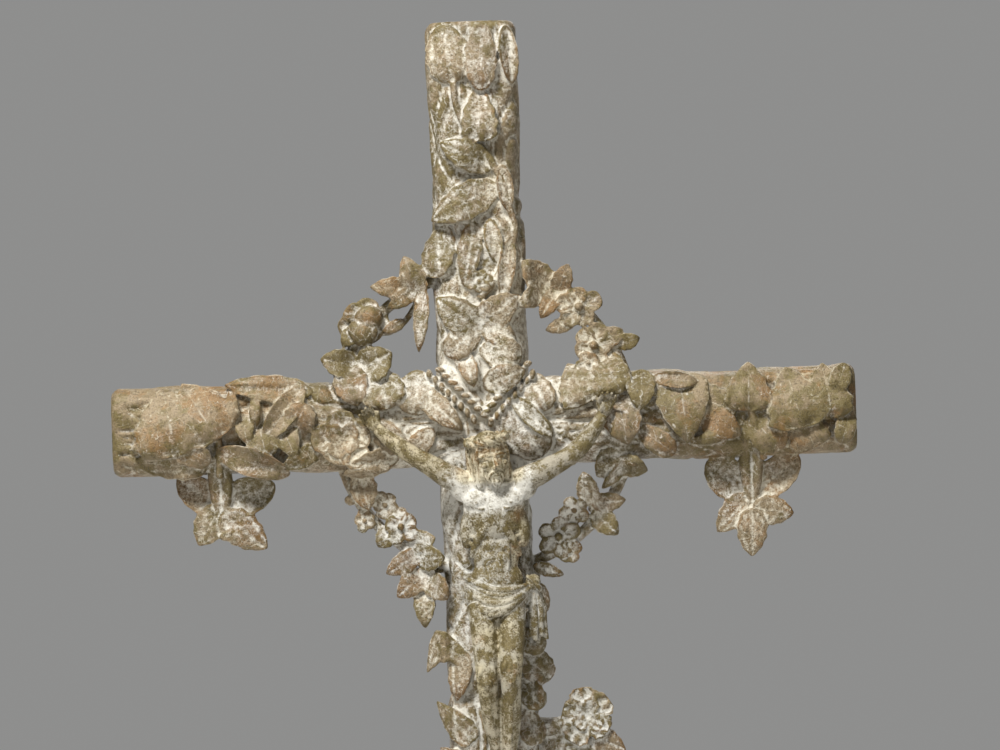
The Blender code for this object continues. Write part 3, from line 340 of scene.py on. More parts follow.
def flat_sheet(name, rows, columns):
    """A square of one metre with a front layer at 0 and a rear one below it, closed all round."""
    bpy.ops.object.select_all(action="DESELECT")
    bpy.ops.mesh.primitive_grid_add(x_subdivisions=rows, y_subdivisions=columns, size=1.0)
    bpy.context.object.name = name
    bpy.ops.object.mode_set(mode="EDIT")
    bpy.ops.mesh.select_all(action="SELECT")
    bpy.ops.mesh.extrude_region_move(TRANSFORM_OT_translate={"value": (0.0, 0.0, -1.0)})
    bpy.ops.mesh.select_all(action="SELECT")
    bpy.ops.mesh.normals_make_consistent(inside=False)
    bpy.ops.object.mode_set(mode="OBJECT")
    return bpy.context.object


def copy_of(form):
    piece = form.copy()
    piece.data = form.data.copy()
    bpy.context.collection.objects.link(piece)
    return piece


def select_only(pieces):
    """Selects these pieces and nothing else, with the first one active."""
    bpy.ops.object.select_all(action="DESELECT")
    for piece in pieces:
        piece.select_set(True)
    bpy.context.view_layer.objects.active = pieces[0]


leaf_sheet = flat_sheet("leaf_sheet", 34, 22)
petal_sheet = flat_sheet("petal_sheet", 14, 12)
leaves = []

# How far forward the leaves laid so far reach, in square cells of this size over the whole cross
LAID_CELL = 0.0015
laid_rises = np.zeros((int(2 * SPAN / LAID_CELL), int(1.5 * HEIGHT / LAID_CELL)))


def blade(base, tip, width, kind="leaf", rises=None, bend=0.0, sheet=leaf_sheet, heart=0.10):
    """A leaf or petal from base to tip, both (x, z) from the crossing.

    It lies over the leaves laid before it and is solid down to the log, unless rises gives those of its ends.
    """
    first, second, cup, arch, base_lift, tip_lift, ripple = LEAF_KINDS[kind]
    piece = copy_of(sheet)
    base, tip = np.array(base), np.array(tip)
    along = tip - base
    length = np.hypot(*along)
    across = np.array((-along[1], along[0])) / length
    flat = points_of(piece)
    u, v = 0.5 - 0.5 * np.cos((flat[:, 0] + 0.5) * math.pi), 2.0 * flat[:, 1]
    widest = first / (first + second)
    swell = u**first * (1.0 - u) ** second / (widest**first * (1.0 - widest) ** second)
    frill = 1.0 + ripple * np.sin(u * 27.0 + 500.0 * base[0]) * np.abs(v)
    half = width / 2 * np.maximum(swell, 0.02) * frill
    down = u - heart * v * v * (1.0 - u) ** 3
    bow = np.sin(math.pi * u)
    sway = bend * bow * length
    x = base[0] + along[0] * down + across[0] * (v * half + sway)
    z = base[1] + along[1] * down + across[1] * (v * half + sway)
    veined = sheet is leaf_sheet
    if rises:
        rise = rises[0] + (rises[1] - rises[0]) * u
    else:
        lift = base_lift + (tip_lift - base_lift) * smooth_step(0.0, 0.85, u)
        rise = ground_rise(x, z) + 0.001 * lift - TIP_DROOP * smooth_step(0.80, 1.0, u)
    rise = rise + arch * bow + cup * width * (v * v - 0.4) * bow
    rise = rise + 0.5 * ripple * width * np.sin(7.0 * v + 90.0 * tip[0]) * u * u
    if veined:
        midrib = np.exp(-((v / 0.12) ** 2))
        side_veins = 0.5 + 0.5 * np.cos((u * SIDE_VEINS - np.abs(v) * VEIN_SLANT) * 2.0 * math.pi)
        quilt = side_veins**2 * (1.0 - 0.7 * np.abs(v)) * smooth_step(0.03, 0.25, u)
        border = smooth_step(0.72, 0.92, np.abs(v))
        rise = rise - VEIN_DEPTH * (0.5 * midrib + 0.14 * quilt - 0.3 * border)
    wobble = np.array([noise.noise(Vector((a * 55.0, b * 55.0, 2.0))) for a, b in zip(x, z)])
    rise = rise + LEAF_WOBBLE * wobble
    cells = (((x + SPAN) / LAID_CELL).astype(int), ((z + CROSSING_HEIGHT) / LAID_CELL).astype(int))
    if veined and not rises:
        clash = np.max(laid_rises[cells] + OVERLAP_GAP - rise)
        rise = rise + min(max(clash, 0.0), MOST_OVERLAP) * smooth_step(0.0, 0.45, u)
    rise = behind_figure(x, rise, z)
    np.maximum.at(laid_rises, cells, rise)
    floor = rise - LEAF_THICKNESS
    if not rises:
        floor = np.minimum(floor, ground_rise(x, z) - LEAF_ROOT)
    move_points(piece, on_cross(x, np.where(flat[:, 2] < -0.5, floor, rise), z))
    tone = 0.5 + 0.5 * noise.noise(Vector((base[0] * 37.0, tip[0] * 53.0, tip[1] * 41.0)))
    map_leaf(piece, u, v, tone, 1.0 if veined else PETAL_VEINING)
    leaves.append(piece)


for group in (BAR_LEAVES, SHAFT_LEAVES):
    for a, b, c, d, width, kind in group:
        blade((a * 0.001, b * 0.001), (c * 0.001, d * 0.001), width * 0.001, kind)
blade((-0.025, -0.226), (-0.062, -0.235), 0.031, bend=-0.54)

ring_unit = RING_RADIUS / 100
for a, b, c, d, width in WREATH_LEAVES:
    blade((a * ring_unit, b * ring_unit), (c * ring_unit, d * ring_unit), width * 0.001)

drop_unit = PENDANT_DROP / 100
for side, pendant in ((-1, LEFT_PENDANT), (1, RIGHT_PENDANT)):
    for index, (a, b, c, d, width) in enumerate(pendant):
        base = (side * PENDANT_PLACE + a * drop_unit, b * drop_unit - HALF_BAR)
        tip = (side * PENDANT_PLACE + c * drop_unit, d * drop_unit - HALF_BAR)
        blade(base, tip, width * 0.001, "fold" if index < 2 else "leaf", (0.014 + 0.002 * index, 0.016))

spray_unit = SPRAY_REACH / 100
for a, b, c, d, width in SPRAY_LEAVES:
    base = (HALF_SHAFT + a * spray_unit, b * spray_unit - SPRAY_DROP)
    tip = (HALF_SHAFT + c * spray_unit, d * spray_unit - SPRAY_DROP)
    blade(base, tip, width * 0.001, "leaf", (0.013, 0.016))

IVY_LOW = -0.90 * CROSSING_HEIGHT
IVY_HIGH = -0.42 * CROSSING_HEIGHT
IVY_STEPS = 14
IVY_TURN = 0.9
ivy = []
for index in range(IVY_STEPS + 1):
    z = IVY_LOW + (IVY_HIGH - IVY_LOW) * index / IVY_STEPS
    x = 0.84 * HALF_SHAFT * math.sin(index * IVY_TURN)
    ivy.append((x, z))
    if 0 < index < IVY_STEPS:
        side = math.copysign(1.0, math.cos(index * IVY_TURN))
        tip = (x + side * 0.030, z + 0.020 - 0.012 * (index % 2))
        blade((x, z), tip, 0.036, ("leaf", "pad")[index % 2], heart=0.3)


# The flowers
# Small open blooms of five or six round petals along the wreath, a full rose at its upper left, a dog rose
# under the figure's hand on the left and a bloom on the spray. Each petal is a thin cupped sheet.

# The wreath's blooms: across and up in hundredths of the ring's radius, the radius in mm, and the petals
WREATH_FLOWERS = [
    (66, 74, 21, 5), (75, 48, 20, 5), (71, 36, 12, 5), (-82, -64, 11, 5), (-68, -54, 13, 5),
    (-58, -69, 17, 5), (58, -62, 14, 5), (47, -79, 20, 6), (54, -89, 12, 5),
]
SPRAY_BLOOM = 0.026

bpy.ops.object.select_all(action="DESELECT")
bpy.ops.mesh.primitive_uv_sphere_add(segments=24, ring_count=16, radius=1.0)
round_form = bpy.context.object
round_form.name = "round_form"
forms = []


def knob(centre, radii, turn=0.0, group=None):
    """A rounded form at (x, rise, z) with radii across, forward and up, turned in the plane of the cross."""
    piece = copy_of(round_form)
    out = points_of(piece) * np.array(radii)
    x = out[:, 0] * math.cos(turn) + out[:, 2] * math.sin(turn)
    z = -out[:, 0] * math.sin(turn) + out[:, 2] * math.cos(turn)
    x, rise, z = centre[0] + x, centre[1] - out[:, 1], centre[2] + z
    if group is None:
        rise = behind_figure(x, rise, z)
    move_points(piece, on_cross(x, rise, z))
    (forms if group is None else group).append(piece)


def whorl(centre, radius, rise, petals, wide, steep, turn, kind="petal"):
    for index in range(petals):
        angle = turn + index * 2 * math.pi / petals + 0.16 * math.sin(index * 5.1 + 300.0 * centre[0])
        reach = radius * (1.0 + 0.11 * math.sin(index * 2.4 + 200.0 * centre[1]))
        tip = (centre[0] + reach * math.cos(angle), centre[1] + reach * math.sin(angle))
        rises = (rise + 0.0009 * (index % 2), rise + steep * radius + 0.001 * math.sin(index * 4.0))
        blade(centre, tip, radius * wide, kind, rises, sheet=petal_sheet, heart=0.0)


def flower(centre, radius, rise, petals=5, turn=0.3):
    """A small open bloom with a button in the middle."""
    whorl(centre, radius, rise, petals, 4.6 / petals, 0.12, turn)
    knob((centre[0], rise + 0.14 * radius, centre[1]), (radius * 0.20,) * 3)


def dog_rose(centre, radius, rise, turn=0.0, kind="petal"):
    """A wide bloom whose petals curl back round a deep middle."""
    whorl(centre, radius, rise, 5, 0.98, 0.22, turn, kind)
    whorl(centre, radius * 0.62, rise - 0.001, 4, 0.95, 0.42, turn + 0.5, kind)
    for index in range(5):
        angle = turn + 0.3 + index * 2 * math.pi / 5
        spot = (centre[0] + 0.20 * radius * math.cos(angle), centre[1] + 0.20 * radius * math.sin(angle))
        knob((spot[0], rise + 0.02 * radius, spot[1]), (radius * 0.07,) * 3)


def rosebud(centre, radius, rise):
    """A swelling bud with its outer petals thrown open behind it."""
    x, z = centre
    whorl((x - 0.002, z + 0.006), radius, rise - 0.002, 6, 0.95, 0.12, 0.2)
    knob((x + 0.003, rise + 0.003, z + 0.008), (radius * 0.62, radius * 0.46, radius * 0.56), -0.5)
    knob((x - 0.002, rise + 0.005, z - 0.006), (radius * 0.55, radius * 0.50, radius * 0.55))
    whorl((x - 0.001, z - 0.002), radius * 0.62, rise + 0.008, 3, 1.3, 0.10, 1.2, "shell")


for x, z, radius, petals in WREATH_FLOWERS:
    rise = float(ground_rise(np.array([x * ring_unit]), np.array([z * ring_unit]))[0]) + 0.003
    flower((x * ring_unit, z * ring_unit), radius * 0.001, rise, petals, turn=x * 0.1)
rosebud((-77 * ring_unit, 65 * ring_unit), 0.0225, WREATH_RISE)
dog_rose((-94 * ring_unit, -9 * ring_unit), 0.028, LOG_DEPTH + 0.001, turn=0.4)
flower((0.0, 0.131), 0.012, LOG_DEPTH + 0.003, 6)
dog_rose((HALF_SHAFT + 52 * spray_unit, 10 * spray_unit - SPRAY_DROP), SPRAY_BLOOM, 0.015, 0.5, "ruffle")
knob((-91 * ring_unit, WREATH_RISE, -50 * ring_unit), (0.006, 0.005, 0.005))

for sheet in (leaf_sheet, petal_sheet):
    bpy.data.objects.remove(sheet)
select_only(leaves)
bpy.ops.object.join()
bpy.context.object.name = "foliage"
casting.append(bpy.context.object)


# The stems
# The wreath's ring, the vine on the upper arm, the wheat stalks behind the head, the pendants' stalks, the
# spray's stem, the climbing ivy and the roots are round bars, sunk into the log or soldered in the pattern.

STEM_RADIUS = 0.0035
RING_BAR_RADIUS = 0.0055
TENDRIL_RADIUS = 0.003
TWIG_RADIUS = 0.0042
RING_RISE = 0.011
EAR_GRAINS = 8
ROOTS = 7
bars = bpy.data.curves.new("stems", "CURVE")
bars.dimensions = "3D"
bars.bevel_depth = 1.0
bars.bevel_resolution = 4
bars.use_fill_caps = True
stems = bpy.data.objects.new("stems", bars)
bpy.context.collection.objects.link(stems)


def bar(points, radii, curve=bars):
    """A round bar through points given as (x, rise, z), with a radius at each."""
    spline = curve.splines.new("NURBS")
    spline.points.add(len(points) - 1)
    spline.order_u = 3
    spline.use_endpoint_u = True
    spline.resolution_u = 6
    for knot, (x, rise, z), radius in zip(spline.points, points, radii):
        knot.co = (x, BACK_Y - rise, CROSSING_HEIGHT + z, 1.0)
        knot.radius = radius


def carried(x, z):
    return float(ground_rise(np.array([x]), np.array([z]))[0])


bar([(x, carried(x, z) + 0.001, z) for x, z in ivy], [STEM_RADIUS] * len(ivy))
VINE = [(-18, 318), (-17, 300), (-12, 285), (-5, 270), (12, 250), (20, 235), (27, 220), (30, 200), (38, 178),
        (25, 150), (15, 130), (0, 115)]
STALK = [(-28, 90), (-26, 68), (-19, 45), (-9, 26), (0, 11)]
LEFT_TWIG = [(-250, 6), (-249, -18), (-250, -45)]
RIGHT_TWIG = [(250, 4), (256, -20), (262, -45)]
for line in (VINE, STALK, LEFT_TWIG, RIGHT_TWIG):
    spots = [(x * 0.001, z * 0.001) for x, z in line]
    bar([(x, carried(x, z) + 0.001, z) for x, z in spots], [STEM_RADIUS] * len(spots))

for side in (-1, 1):
    start, end = np.array((side * 0.003, 0.002)), np.array((side * 0.049, 0.052))
    along = (end - start) / np.hypot(*(end - start))
    across = np.array((-along[1], along[0]))
    for index in range(EAR_GRAINS):
        for rank in (-1, 1):
            x, z = start + (end - start) * (index + 0.5 * (rank > 0)) / EAR_GRAINS + across * rank * 0.0050
            lean = math.atan2(along[0], along[1]) + rank * 0.55
            knob((x, carried(x, z) + 0.0035, z), (0.0030, 0.0055, 0.0050), lean)

ring = [(math.cos(math.radians(a)) * RING_RADIUS, RING_RISE, math.sin(math.radians(a)) * RING_RADIUS)
        for a in range(0, 361, 10)]
bar(ring, [RING_BAR_RADIUS] * len(ring))
tendril = [(-38, 87), (-47, 72), (-56, 63), (-66, 60), (-72, 64)]
bar([(x * ring_unit, RING_RISE, z * ring_unit) for x, z in tendril], [TENDRIL_RADIUS] * len(tendril))
for (a, b), (c, d) in (((-76, 66), (-82, 40)), ((-60, 80), (-42, 88)), ((-44, -86), (-44, -112)),
                       ((-46, -98), (-30, -98)), ((68, -60), (76, -62)), ((36, -92), (30, -108)),
                       ((50, 84), (62, 78)), ((-36, 92), (-26, 95))):
    start, end = (a * ring_unit, RING_RISE, b * ring_unit), (c * ring_unit, RING_RISE, d * ring_unit)
    bar([start, tuple((p + q) / 2 for p, q in zip(start, end)), end], [TWIG_RADIUS] * 3)

for side in (-1, 1):
    x0, z0 = side * PENDANT_PLACE, -HALF_BAR
    for lean in (-1, 1):
        bar([(x0 + lean * 0.002, 0.030, z0 + 0.028), (x0 + lean * 0.006, 0.024, z0 + 0.004),
             (x0 + lean * 0.005, 0.016, z0 - 0.020), (x0, 0.013, z0 - 0.58 * PENDANT_DROP)],
            [0.004, 0.0065, 0.0060, 0.0040])

bar([(HALF_SHAFT - 0.012, 0.018, -SPRAY_DROP), (HALF_SHAFT + 12 * spray_unit, 0.016, -SPRAY_DROP - 0.002),
     (HALF_SHAFT + 35 * spray_unit, 0.014, -SPRAY_DROP + 0.004),
     (HALF_SHAFT + 50 * spray_unit, 0.013, -SPRAY_DROP + 0.006)], [0.011, 0.009, 0.007, 0.006])

for root in range(ROOTS):
    angle = math.radians(12 + 26 * root)
    x = FOOT_HALF_WIDTH * 0.90 * math.cos(angle)
    rise = FOOT_DEPTH * (0.15 + 0.80 * math.sin(angle))
    bar([(x * 0.45, rise * 0.50, -CROSSING_HEIGHT + FOOT_FLARE_HEIGHT * 1.1),
         (x * 0.80, rise * 0.85, -CROSSING_HEIGHT + FOOT_FLARE_HEIGHT * 0.45),
         (x, rise, -CROSSING_HEIGHT + 0.001)], [0.007, 0.011, 0.014])


def as_mesh(curves):
    select_only([curves])
    bpy.ops.object.convert(target="MESH")
    return bpy.context.object


casting.append(as_mesh(stems))
casting += forms


# The casting's skin
# Everything above left the mould as one grey iron casting. The metal filled its joints, and sand and rust
# have pitted its front, while the back stays as smooth as the core left it.

CROSS_GRAIN = 0.00105
CROSS_TRIANGLES = 195000
SMOOTH_BACK = 0.006

# Fine, middle and broad hollows: the rounds of smoothing that fill them, and in metres a full hollow's depth
CROSS_HOLLOWS = ((3, 0.0003), (14, 0.0009), (70, 0.0024))


def cast(pieces, name, grain):
    """Joins the shapes and gives them one skin."""
    for piece in pieces:
        if "leaf_map" not in piece.data.color_attributes:
            layer = piece.data.color_attributes.new("leaf_map", "FLOAT_COLOR", "POINT")
            layer.data.foreach_set("color", np.zeros(len(piece.data.vertices) * 4, dtype=np.float32))
    select_only(pieces)
    bpy.ops.object.join()
    pattern = bpy.context.object
    pattern.name = name + "_pattern"
    bpy.ops.object.duplicate()
    skin = bpy.context.object
    skin.name = name
    remesh = skin.modifiers.new("skin", "REMESH")
    remesh.mode = "VOXEL"
    remesh.voxel_size = grain
    bpy.ops.object.modifier_apply(modifier=remesh.name)
    return pattern, skin


def ease(piece, rounds, factor=0.5):
    """Rounds a skin a little, as the sand of the mould does."""
    smoothing = piece.modifiers.new("ease", "SMOOTH")
    smoothing.factor = factor
    smoothing.iterations = rounds
    bpy.ops.object.modifier_apply(modifier=smoothing.name)


def pit(piece, size, depth):
    """Roughens a skin with lumps and pits of a size, all but its back."""
    group = piece.vertex_groups.new(name="front")
    forward = np.flatnonzero(BACK_Y - points_of(piece)[:, 1] > SMOOTH_BACK)
    group.add(forward.tolist(), 1.0, "REPLACE")
    grain = bpy.data.textures.new("sand", "CLOUDS")
    grain.noise_scale = size
    roughen = piece.modifiers.new("pits", "DISPLACE")
    roughen.texture = grain
    roughen.texture_coords = "LOCAL"
    roughen.strength = depth
    roughen.vertex_group = group.name
    bpy.ops.object.modifier_apply(modifier=roughen.name)
    piece.vertex_groups.clear()


def measure_hollows(piece, spans):
    """Marks how hollow the skin is at three sizes, for the lime and the painted shade in the hollows."""
    points = points_of(piece)
    normals = np.empty(len(points) * 3)
    piece.data.vertices.foreach_get("normal", normals)
    normals = normals.reshape(-1, 3)
    rows = np.ones((len(points), 4))
    for channel, (rounds, span) in enumerate(spans):
        level = piece.modifiers.new("level", "SMOOTH")
        level.factor = 0.5
        level.iterations = rounds
        graph = bpy.context.evaluated_depsgraph_get()
        eased = points_of(piece.evaluated_get(graph))
        piece.modifiers.remove(level)
        hollow = np.einsum("ij,ij->i", eased - points, normals) / span
        rows[:, channel] = np.clip(hollow, -1.0, 1.0) * 0.5 + 0.5
    layer = piece.data.color_attributes.new("hollows", "FLOAT_COLOR", "POINT")
    layer.data.foreach_set("color", rows.astype(np.float32).ravel())


def take_marks(piece, source, name):
    """Copies a point colour from the nearest place of another mesh."""
    if name not in piece.data.color_attributes:
        piece.data.color_attributes.new(name, "FLOAT_COLOR", "POINT")
    carry = piece.modifiers.new("marks", "DATA_TRANSFER")
    carry.object = source
    carry.use_vert_data = True
    carry.data_types_verts = {"COLOR_VERTEX"}
    carry.vert_mapping = "POLYINTERP_NEAREST"
    bpy.ops.object.modifier_apply(modifier=carry.name)


def thin_out(piece, triangles, hollows):
    """Marks the hollows of a whole skin and keeps the marks on a thinner one."""
    measure_hollows(piece, hollows)
    bpy.ops.object.duplicate()
    whole = bpy.context.object
    select_only([piece])
    piece.data.calc_loop_triangles()
    thinning = piece.modifiers.new("thin", "DECIMATE")
    thinning.ratio = min(1.0, triangles / len(piece.data.loop_triangles))
    bpy.ops.object.modifier_apply(modifier=thinning.name)
    take_marks(piece, whole, "hollows")
    bpy.data.objects.remove(whole)


pattern, cross = cast(casting, "grave_cross", CROSS_GRAIN)
ease(cross, 1, 0.35)
pit(cross, size=0.0055, depth=0.0008)
thin_out(cross, CROSS_TRIANGLES, CROSS_HOLLOWS)
take_marks(cross, pattern, "leaf_map")
move_points(cross, np.clip(points_of(cross), np.array(cross_low), np.array(cross_high)))
bpy.data.objects.remove(pattern)
bpy.ops.object.shade_smooth()
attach(cross, "root")
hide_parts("cross")


# The iron's surface
# Bare grey iron long under paint and lime wash: brown and olive rust, ochre where it is wet, and white lime
# left in the hollows, the veins and all over the crossing, where the weather reached it least.
# The deepest hollows get painted shade in umber.

COOL_LIME = (0.580, 0.580, 0.545)
OLIVE = (0.126, 0.094, 0.030)
TAUPE = (0.208, 0.154, 0.085)
OCHRE = (0.218, 0.114, 0.033)
# Umber is the dark rust of patches and pits, and also the painted shade in the deepest hollows
UMBER_RUST_AND_SHADE = (0.042, 0.026, 0.014)
GREY_LIME = (0.425, 0.390, 0.318)
PALE_LIME = (0.640, 0.616, 0.548)
YELLOW_LIME = (0.600, 0.520, 0.330)


class Socket:
    """A socket of a material's tree. Sums with it and numbers become Math nodes."""

    def __init__(self, tree, socket=None):
        self.tree = tree
        self.socket = socket

    def node(self, kind, settings=None, values=None, output=0):
        step = self.tree.nodes.new("ShaderNode" + kind)
        for name, value in (settings or {}).items():
            if name == "stops":
                while len(step.color_ramp.elements) < len(value):
                    step.color_ramp.elements.new(0.5)
                for element, (position, level) in zip(step.color_ramp.elements, value):
                    element.position = position
                    element.color = (level, level, level, 1.0)
            else:
                setattr(step, name, value)
        for name, value in (values or {}).items():
            if isinstance(value, Socket):
                self.tree.links.new(value.socket, step.inputs[name])
            else:
                step.inputs[name].default_value = value
        return Socket(self.tree, step.outputs[output])

    def maths(self, operation, *others):
        return self.node("Math", {"operation": operation}, dict(enumerate((self, *others))))

    def __add__(self, other):
        return self.maths("ADD", other)

    def __sub__(self, other):
        return self.maths("SUBTRACT", other)

    def __rsub__(self, other):
        return self.node("Math", {"operation": "SUBTRACT"}, {0: other, 1: self})

    def __mul__(self, other):
        return self.maths("MULTIPLY", other)

    def __truediv__(self, other):
        return self.maths("DIVIDE", other)

    __radd__ = __add__
    __rmul__ = __mul__

    def size(self):
        return self.maths("ABSOLUTE")

    def over(self, other):
        """The higher of the two at each place."""
        return self.maths("MAXIMUM", other)

    def step(self, low, high):
        """0 below low and 1 above high, eased between; the other way round when low is the higher."""
        ends = (low, high, 0.0, 1.0) if low < high else (high, low, 1.0, 0.0)
        settings = {"interpolation_type": "SMOOTHSTEP"}
        return self.node("MapRange", settings, {0: self, 1: ends[0], 2: ends[1], 3: ends[2], 4: ends[3]})

    def between(self, low, high):
        """The colour that lies between two by this share."""
        return self.node("Mix", {"data_type": "RGBA"}, {0: self, 6: (*low, 1.0), 7: (*high, 1.0)}, 2)

    def tint(self, share, colour):
        """This colour with a share of another laid over it."""
        other = colour if isinstance(colour, Socket) else (*colour, 1.0)
        return self.node("Mix", {"data_type": "RGBA"}, {0: share, 6: self, 7: other}, 2)


def rusted_iron_and_shade(name, lime_level, warmth):
    """The finish of a casting: rust, lime and painted shade in the deepest hollows. lime_level and warmth say
    how limed and how ochre a place is.
    """
    material = bpy.data.materials.new(name)
    material.use_nodes = True
    tree = material.node_tree
    tree.nodes.clear()
    start = Socket(tree)
    place = start.node("TexCoord", output=3)
    x, height = (start.node("SeparateXYZ", values={0: place}, output=index) for index in (0, 2))
    height = height - CROSSING_HEIGHT
    marks = start.node("Attribute", {"attribute_name": "hollows"})
    hollows = (start.node("SeparateColor", values={0: marks}, output=index) for index in range(3))
    fine, middle, broad = (share * 2.0 - 1.0 for share in hollows)
    leaf = start.node("Attribute", {"attribute_name": "leaf_map"})
    on_leaf = start.node("Attribute", {"attribute_name": "leaf_map"}, output=3)
    along, across, tone = (start.node("SeparateColor", values={0: leaf}, output=index) for index in range(3))
    across = (across * 2.0 - 1.0).size()

    def grain(scale, detail=3.0, roughness=0.55, stretch=None):
        spot = start.node("Mapping", values={0: place, 3: stretch}) if stretch else place
        return start.node("TexNoise", values={"Vector": spot, "Scale": scale, "Detail": detail,
                                              "Roughness": roughness})

    clouds, patches, blotches = grain(9.0), grain(34.0), grain(95.0)
    lumps, speckle, dust = grain(260.0), grain(620.0, 2.0, 0.7), grain(1500.0, 2.0, 0.7)

    ground = (clouds + 0.75 * (blotches - 0.5) + 0.45 * (tone - 0.5) * on_leaf).step(0.41, 0.59)
    warm_place = warmth(x, height)
    warm = patches + 0.35 * (tone - 0.5) * on_leaf + 0.35 * (lumps - 0.5) + warm_place
    colour = ground.between(OLIVE, TAUPE).tint(warm.step(0.50, 0.70) * 0.75, OCHRE)
    shade = (clouds - 0.7 * (patches - 0.5) - 0.5 * (tone - 0.5) * on_leaf).step(0.52, 0.34)
    colour = colour.tint(shade * 0.26, UMBER_RUST_AND_SHADE)
    colour = colour.tint(dust.step(0.50, 0.72) * 0.30, GREY_LIME)
    colour = colour.tint((speckle + 0.4 * (lumps - 0.5)).step(0.46, 0.32) * 0.6, UMBER_RUST_AND_SHADE)

    def web(scale, width):
        """Thin lines that wander over the surface, where water has dried along scratches."""
        return (grain(scale, 3.0, 0.5) - 0.5).size().step(width, 0.0)

    level = lime_level(x, height, on_leaf)
    lines = web(34.0, 0.011).over(web(85.0, 0.013))
    lines = lines * (patches + 0.6 * (lumps - 0.5) + 0.30 * level + 0.15 * middle).step(0.50, 0.72)
    waves = (along * SIDE_VEINS - across * VEIN_SLANT) * (2.0 * math.pi)
    side_veins = 0.14 * waves.maths("COSINE").step(0.94, 1.0)
    veins = across.step(0.06, 0.0).over(side_veins).over(across.step(0.90, 0.99))
    veins = veins * on_leaf * (blotches + 0.5 * (speckle - 0.5)).step(0.44, 0.62)
    crust = 0.85 * level + 0.80 * middle + 0.55 * fine - 0.45 * broad.step(0.50, 1.0)
    crust = crust + 0.55 * (blotches - 0.5) + 0.8 * (lumps - 0.5)
    crust = crust + 0.6 * (speckle - 0.5) + 0.45 * (patches - 0.5)
    lime = crust.step(0.28, 0.90).over(0.72 * lines).over(0.66 * veins)
    thick = level * 0.55 + lumps * 0.9 + 0.30 * middle + 0.7 * (speckle - 0.5) + 0.2 * lines
    chalk = thick.step(0.55, 1.10).between(GREY_LIME, PALE_LIME)
    chalk = chalk.tint(height.step(-0.04, -0.14) * 0.5, COOL_LIME)
    yellow = (clouds.step(0.44, 0.62) * (1.0 - level)).over(0.75 * warm_place.step(0.10, 0.22))
    chalk = chalk.tint(yellow * 0.8, YELLOW_LIME)
    colour = colour.tint(lime * 0.92, chalk)
    # Painted shade: the skin is darkened towards umber in its deepest hollows, a little less where lime lies
    deep = (0.6 * fine + 0.6 * middle + 0.5 * broad + 0.25 * (lumps - 0.5)).step(0.36, 0.95)
    colour = colour.tint(deep * (1.0 - 0.45 * lime) * 0.85, UMBER_RUST_AND_SHADE)

    shader = tree.nodes.new("ShaderNodeBsdfPrincipled")
    output = tree.nodes.new("ShaderNodeOutputMaterial")
    relief = lumps * 0.7 + speckle * 0.5 + dust * 0.2 + 0.30 * lime
    normal = start.node("Bump", values={"Strength": 0.85, "Distance": 0.0014, "Height": relief})
    tree.links.new(colour.socket, shader.inputs["Base Color"])
    tree.links.new((0.50 + 0.38 * lime + 0.10 * (lumps - 0.5)).socket, shader.inputs["Roughness"])
    tree.links.new(((1.0 - lime) * 0.18).socket, shader.inputs["Metallic"])
    tree.links.new(normal.socket, shader.inputs["Normal"])
    shader.inputs["Specular IOR Level"].default_value = 0.35
    tree.links.new(shader.outputs[0], output.inputs[0])
    return material


def lime_on_cross(x, height, on_leaf):
    """Lime lies all over the crossing and the shaft, and little on the ends of the bar."""
    away = (x * x + (height - 0.01) * (height - 0.01)).maths("SQRT")
    near = away.step(0.17, 0.05)
    below = height.step(0.00, -0.08)
    bar_end = x.size().step(0.13, 0.26) * height.size().step(0.062, 0.040)
    bare_log = (1.0 - on_leaf) * near.over(below)
    on_shaft = x.size().step(0.060, 0.040) * height.step(0.03, 0.07)
    right_bar = x.step(0.15, 0.21) * height.step(-0.05, -0.04)
    level = 0.32 + 0.22 * below + 0.37 * near + 0.13 * bare_log + 0.24 * on_shaft * (1.0 - near)
    return level - 0.04 * bar_end - 0.12 * right_bar


def warmth_of_cross(x, height):
    """The rust is a little warmer out on the bar than at the top."""
    return 0.03 * x.size().step(0.14, 0.22) - 0.03 * height.step(0.10, 0.20)


cross.data.materials.clear()
cross.data.materials.append(rusted_iron_and_shade("cross_rust_lime_and_shade", lime_on_cross, warmth_of_cross))


# The corpus
# The figure with arms raised and bent knees, cast apart from the cross and bolted flat against its bosses. It
# wears a knotted loincloth and a twisted crown; the face is calm, with closed eyes.

CORPUS_GRAIN = 0.00072
CORPUS_TRIANGLES = 190000
CORPUS_HOLLOWS = ((3, 0.0003), (14, 0.0008), (60, 0.0020))
HEAD_SIZE = 14.9 * UNIT
HEAD_MIDDLE = (0.2, 7.3, 6.4)
HEAD_ROLL = math.radians(7)
HEAD_PITCH = math.radians(5)
HEAD_YAW = math.radians(14)
HAND_REACH = {-1: (-3.0, 4.6), 1: (1.8, 5.2)}
SOLES = (0.5, -85.0)


def on_figure(across, up, rise):
    return (FIGURE_SHIFT + across * UNIT, SEAT_RISE + rise * UNIT, up * UNIT - FIGURE_DROP)


def limb(line, curve):
    bar([on_figure(*spot[:3]) for spot in line], [spot[3] * UNIT for spot in line], curve)


def muscle(centre, radii, turn, group):
    knob(on_figure(*centre), [radius * UNIT for radius in radii], math.radians(turn), group)


def new_limbs(name):
    data = bars.copy()
    data.name = name
    data.splines.clear()
    limbs = bpy.data.objects.new(name, data)
    bpy.context.collection.objects.link(limbs)
    return limbs


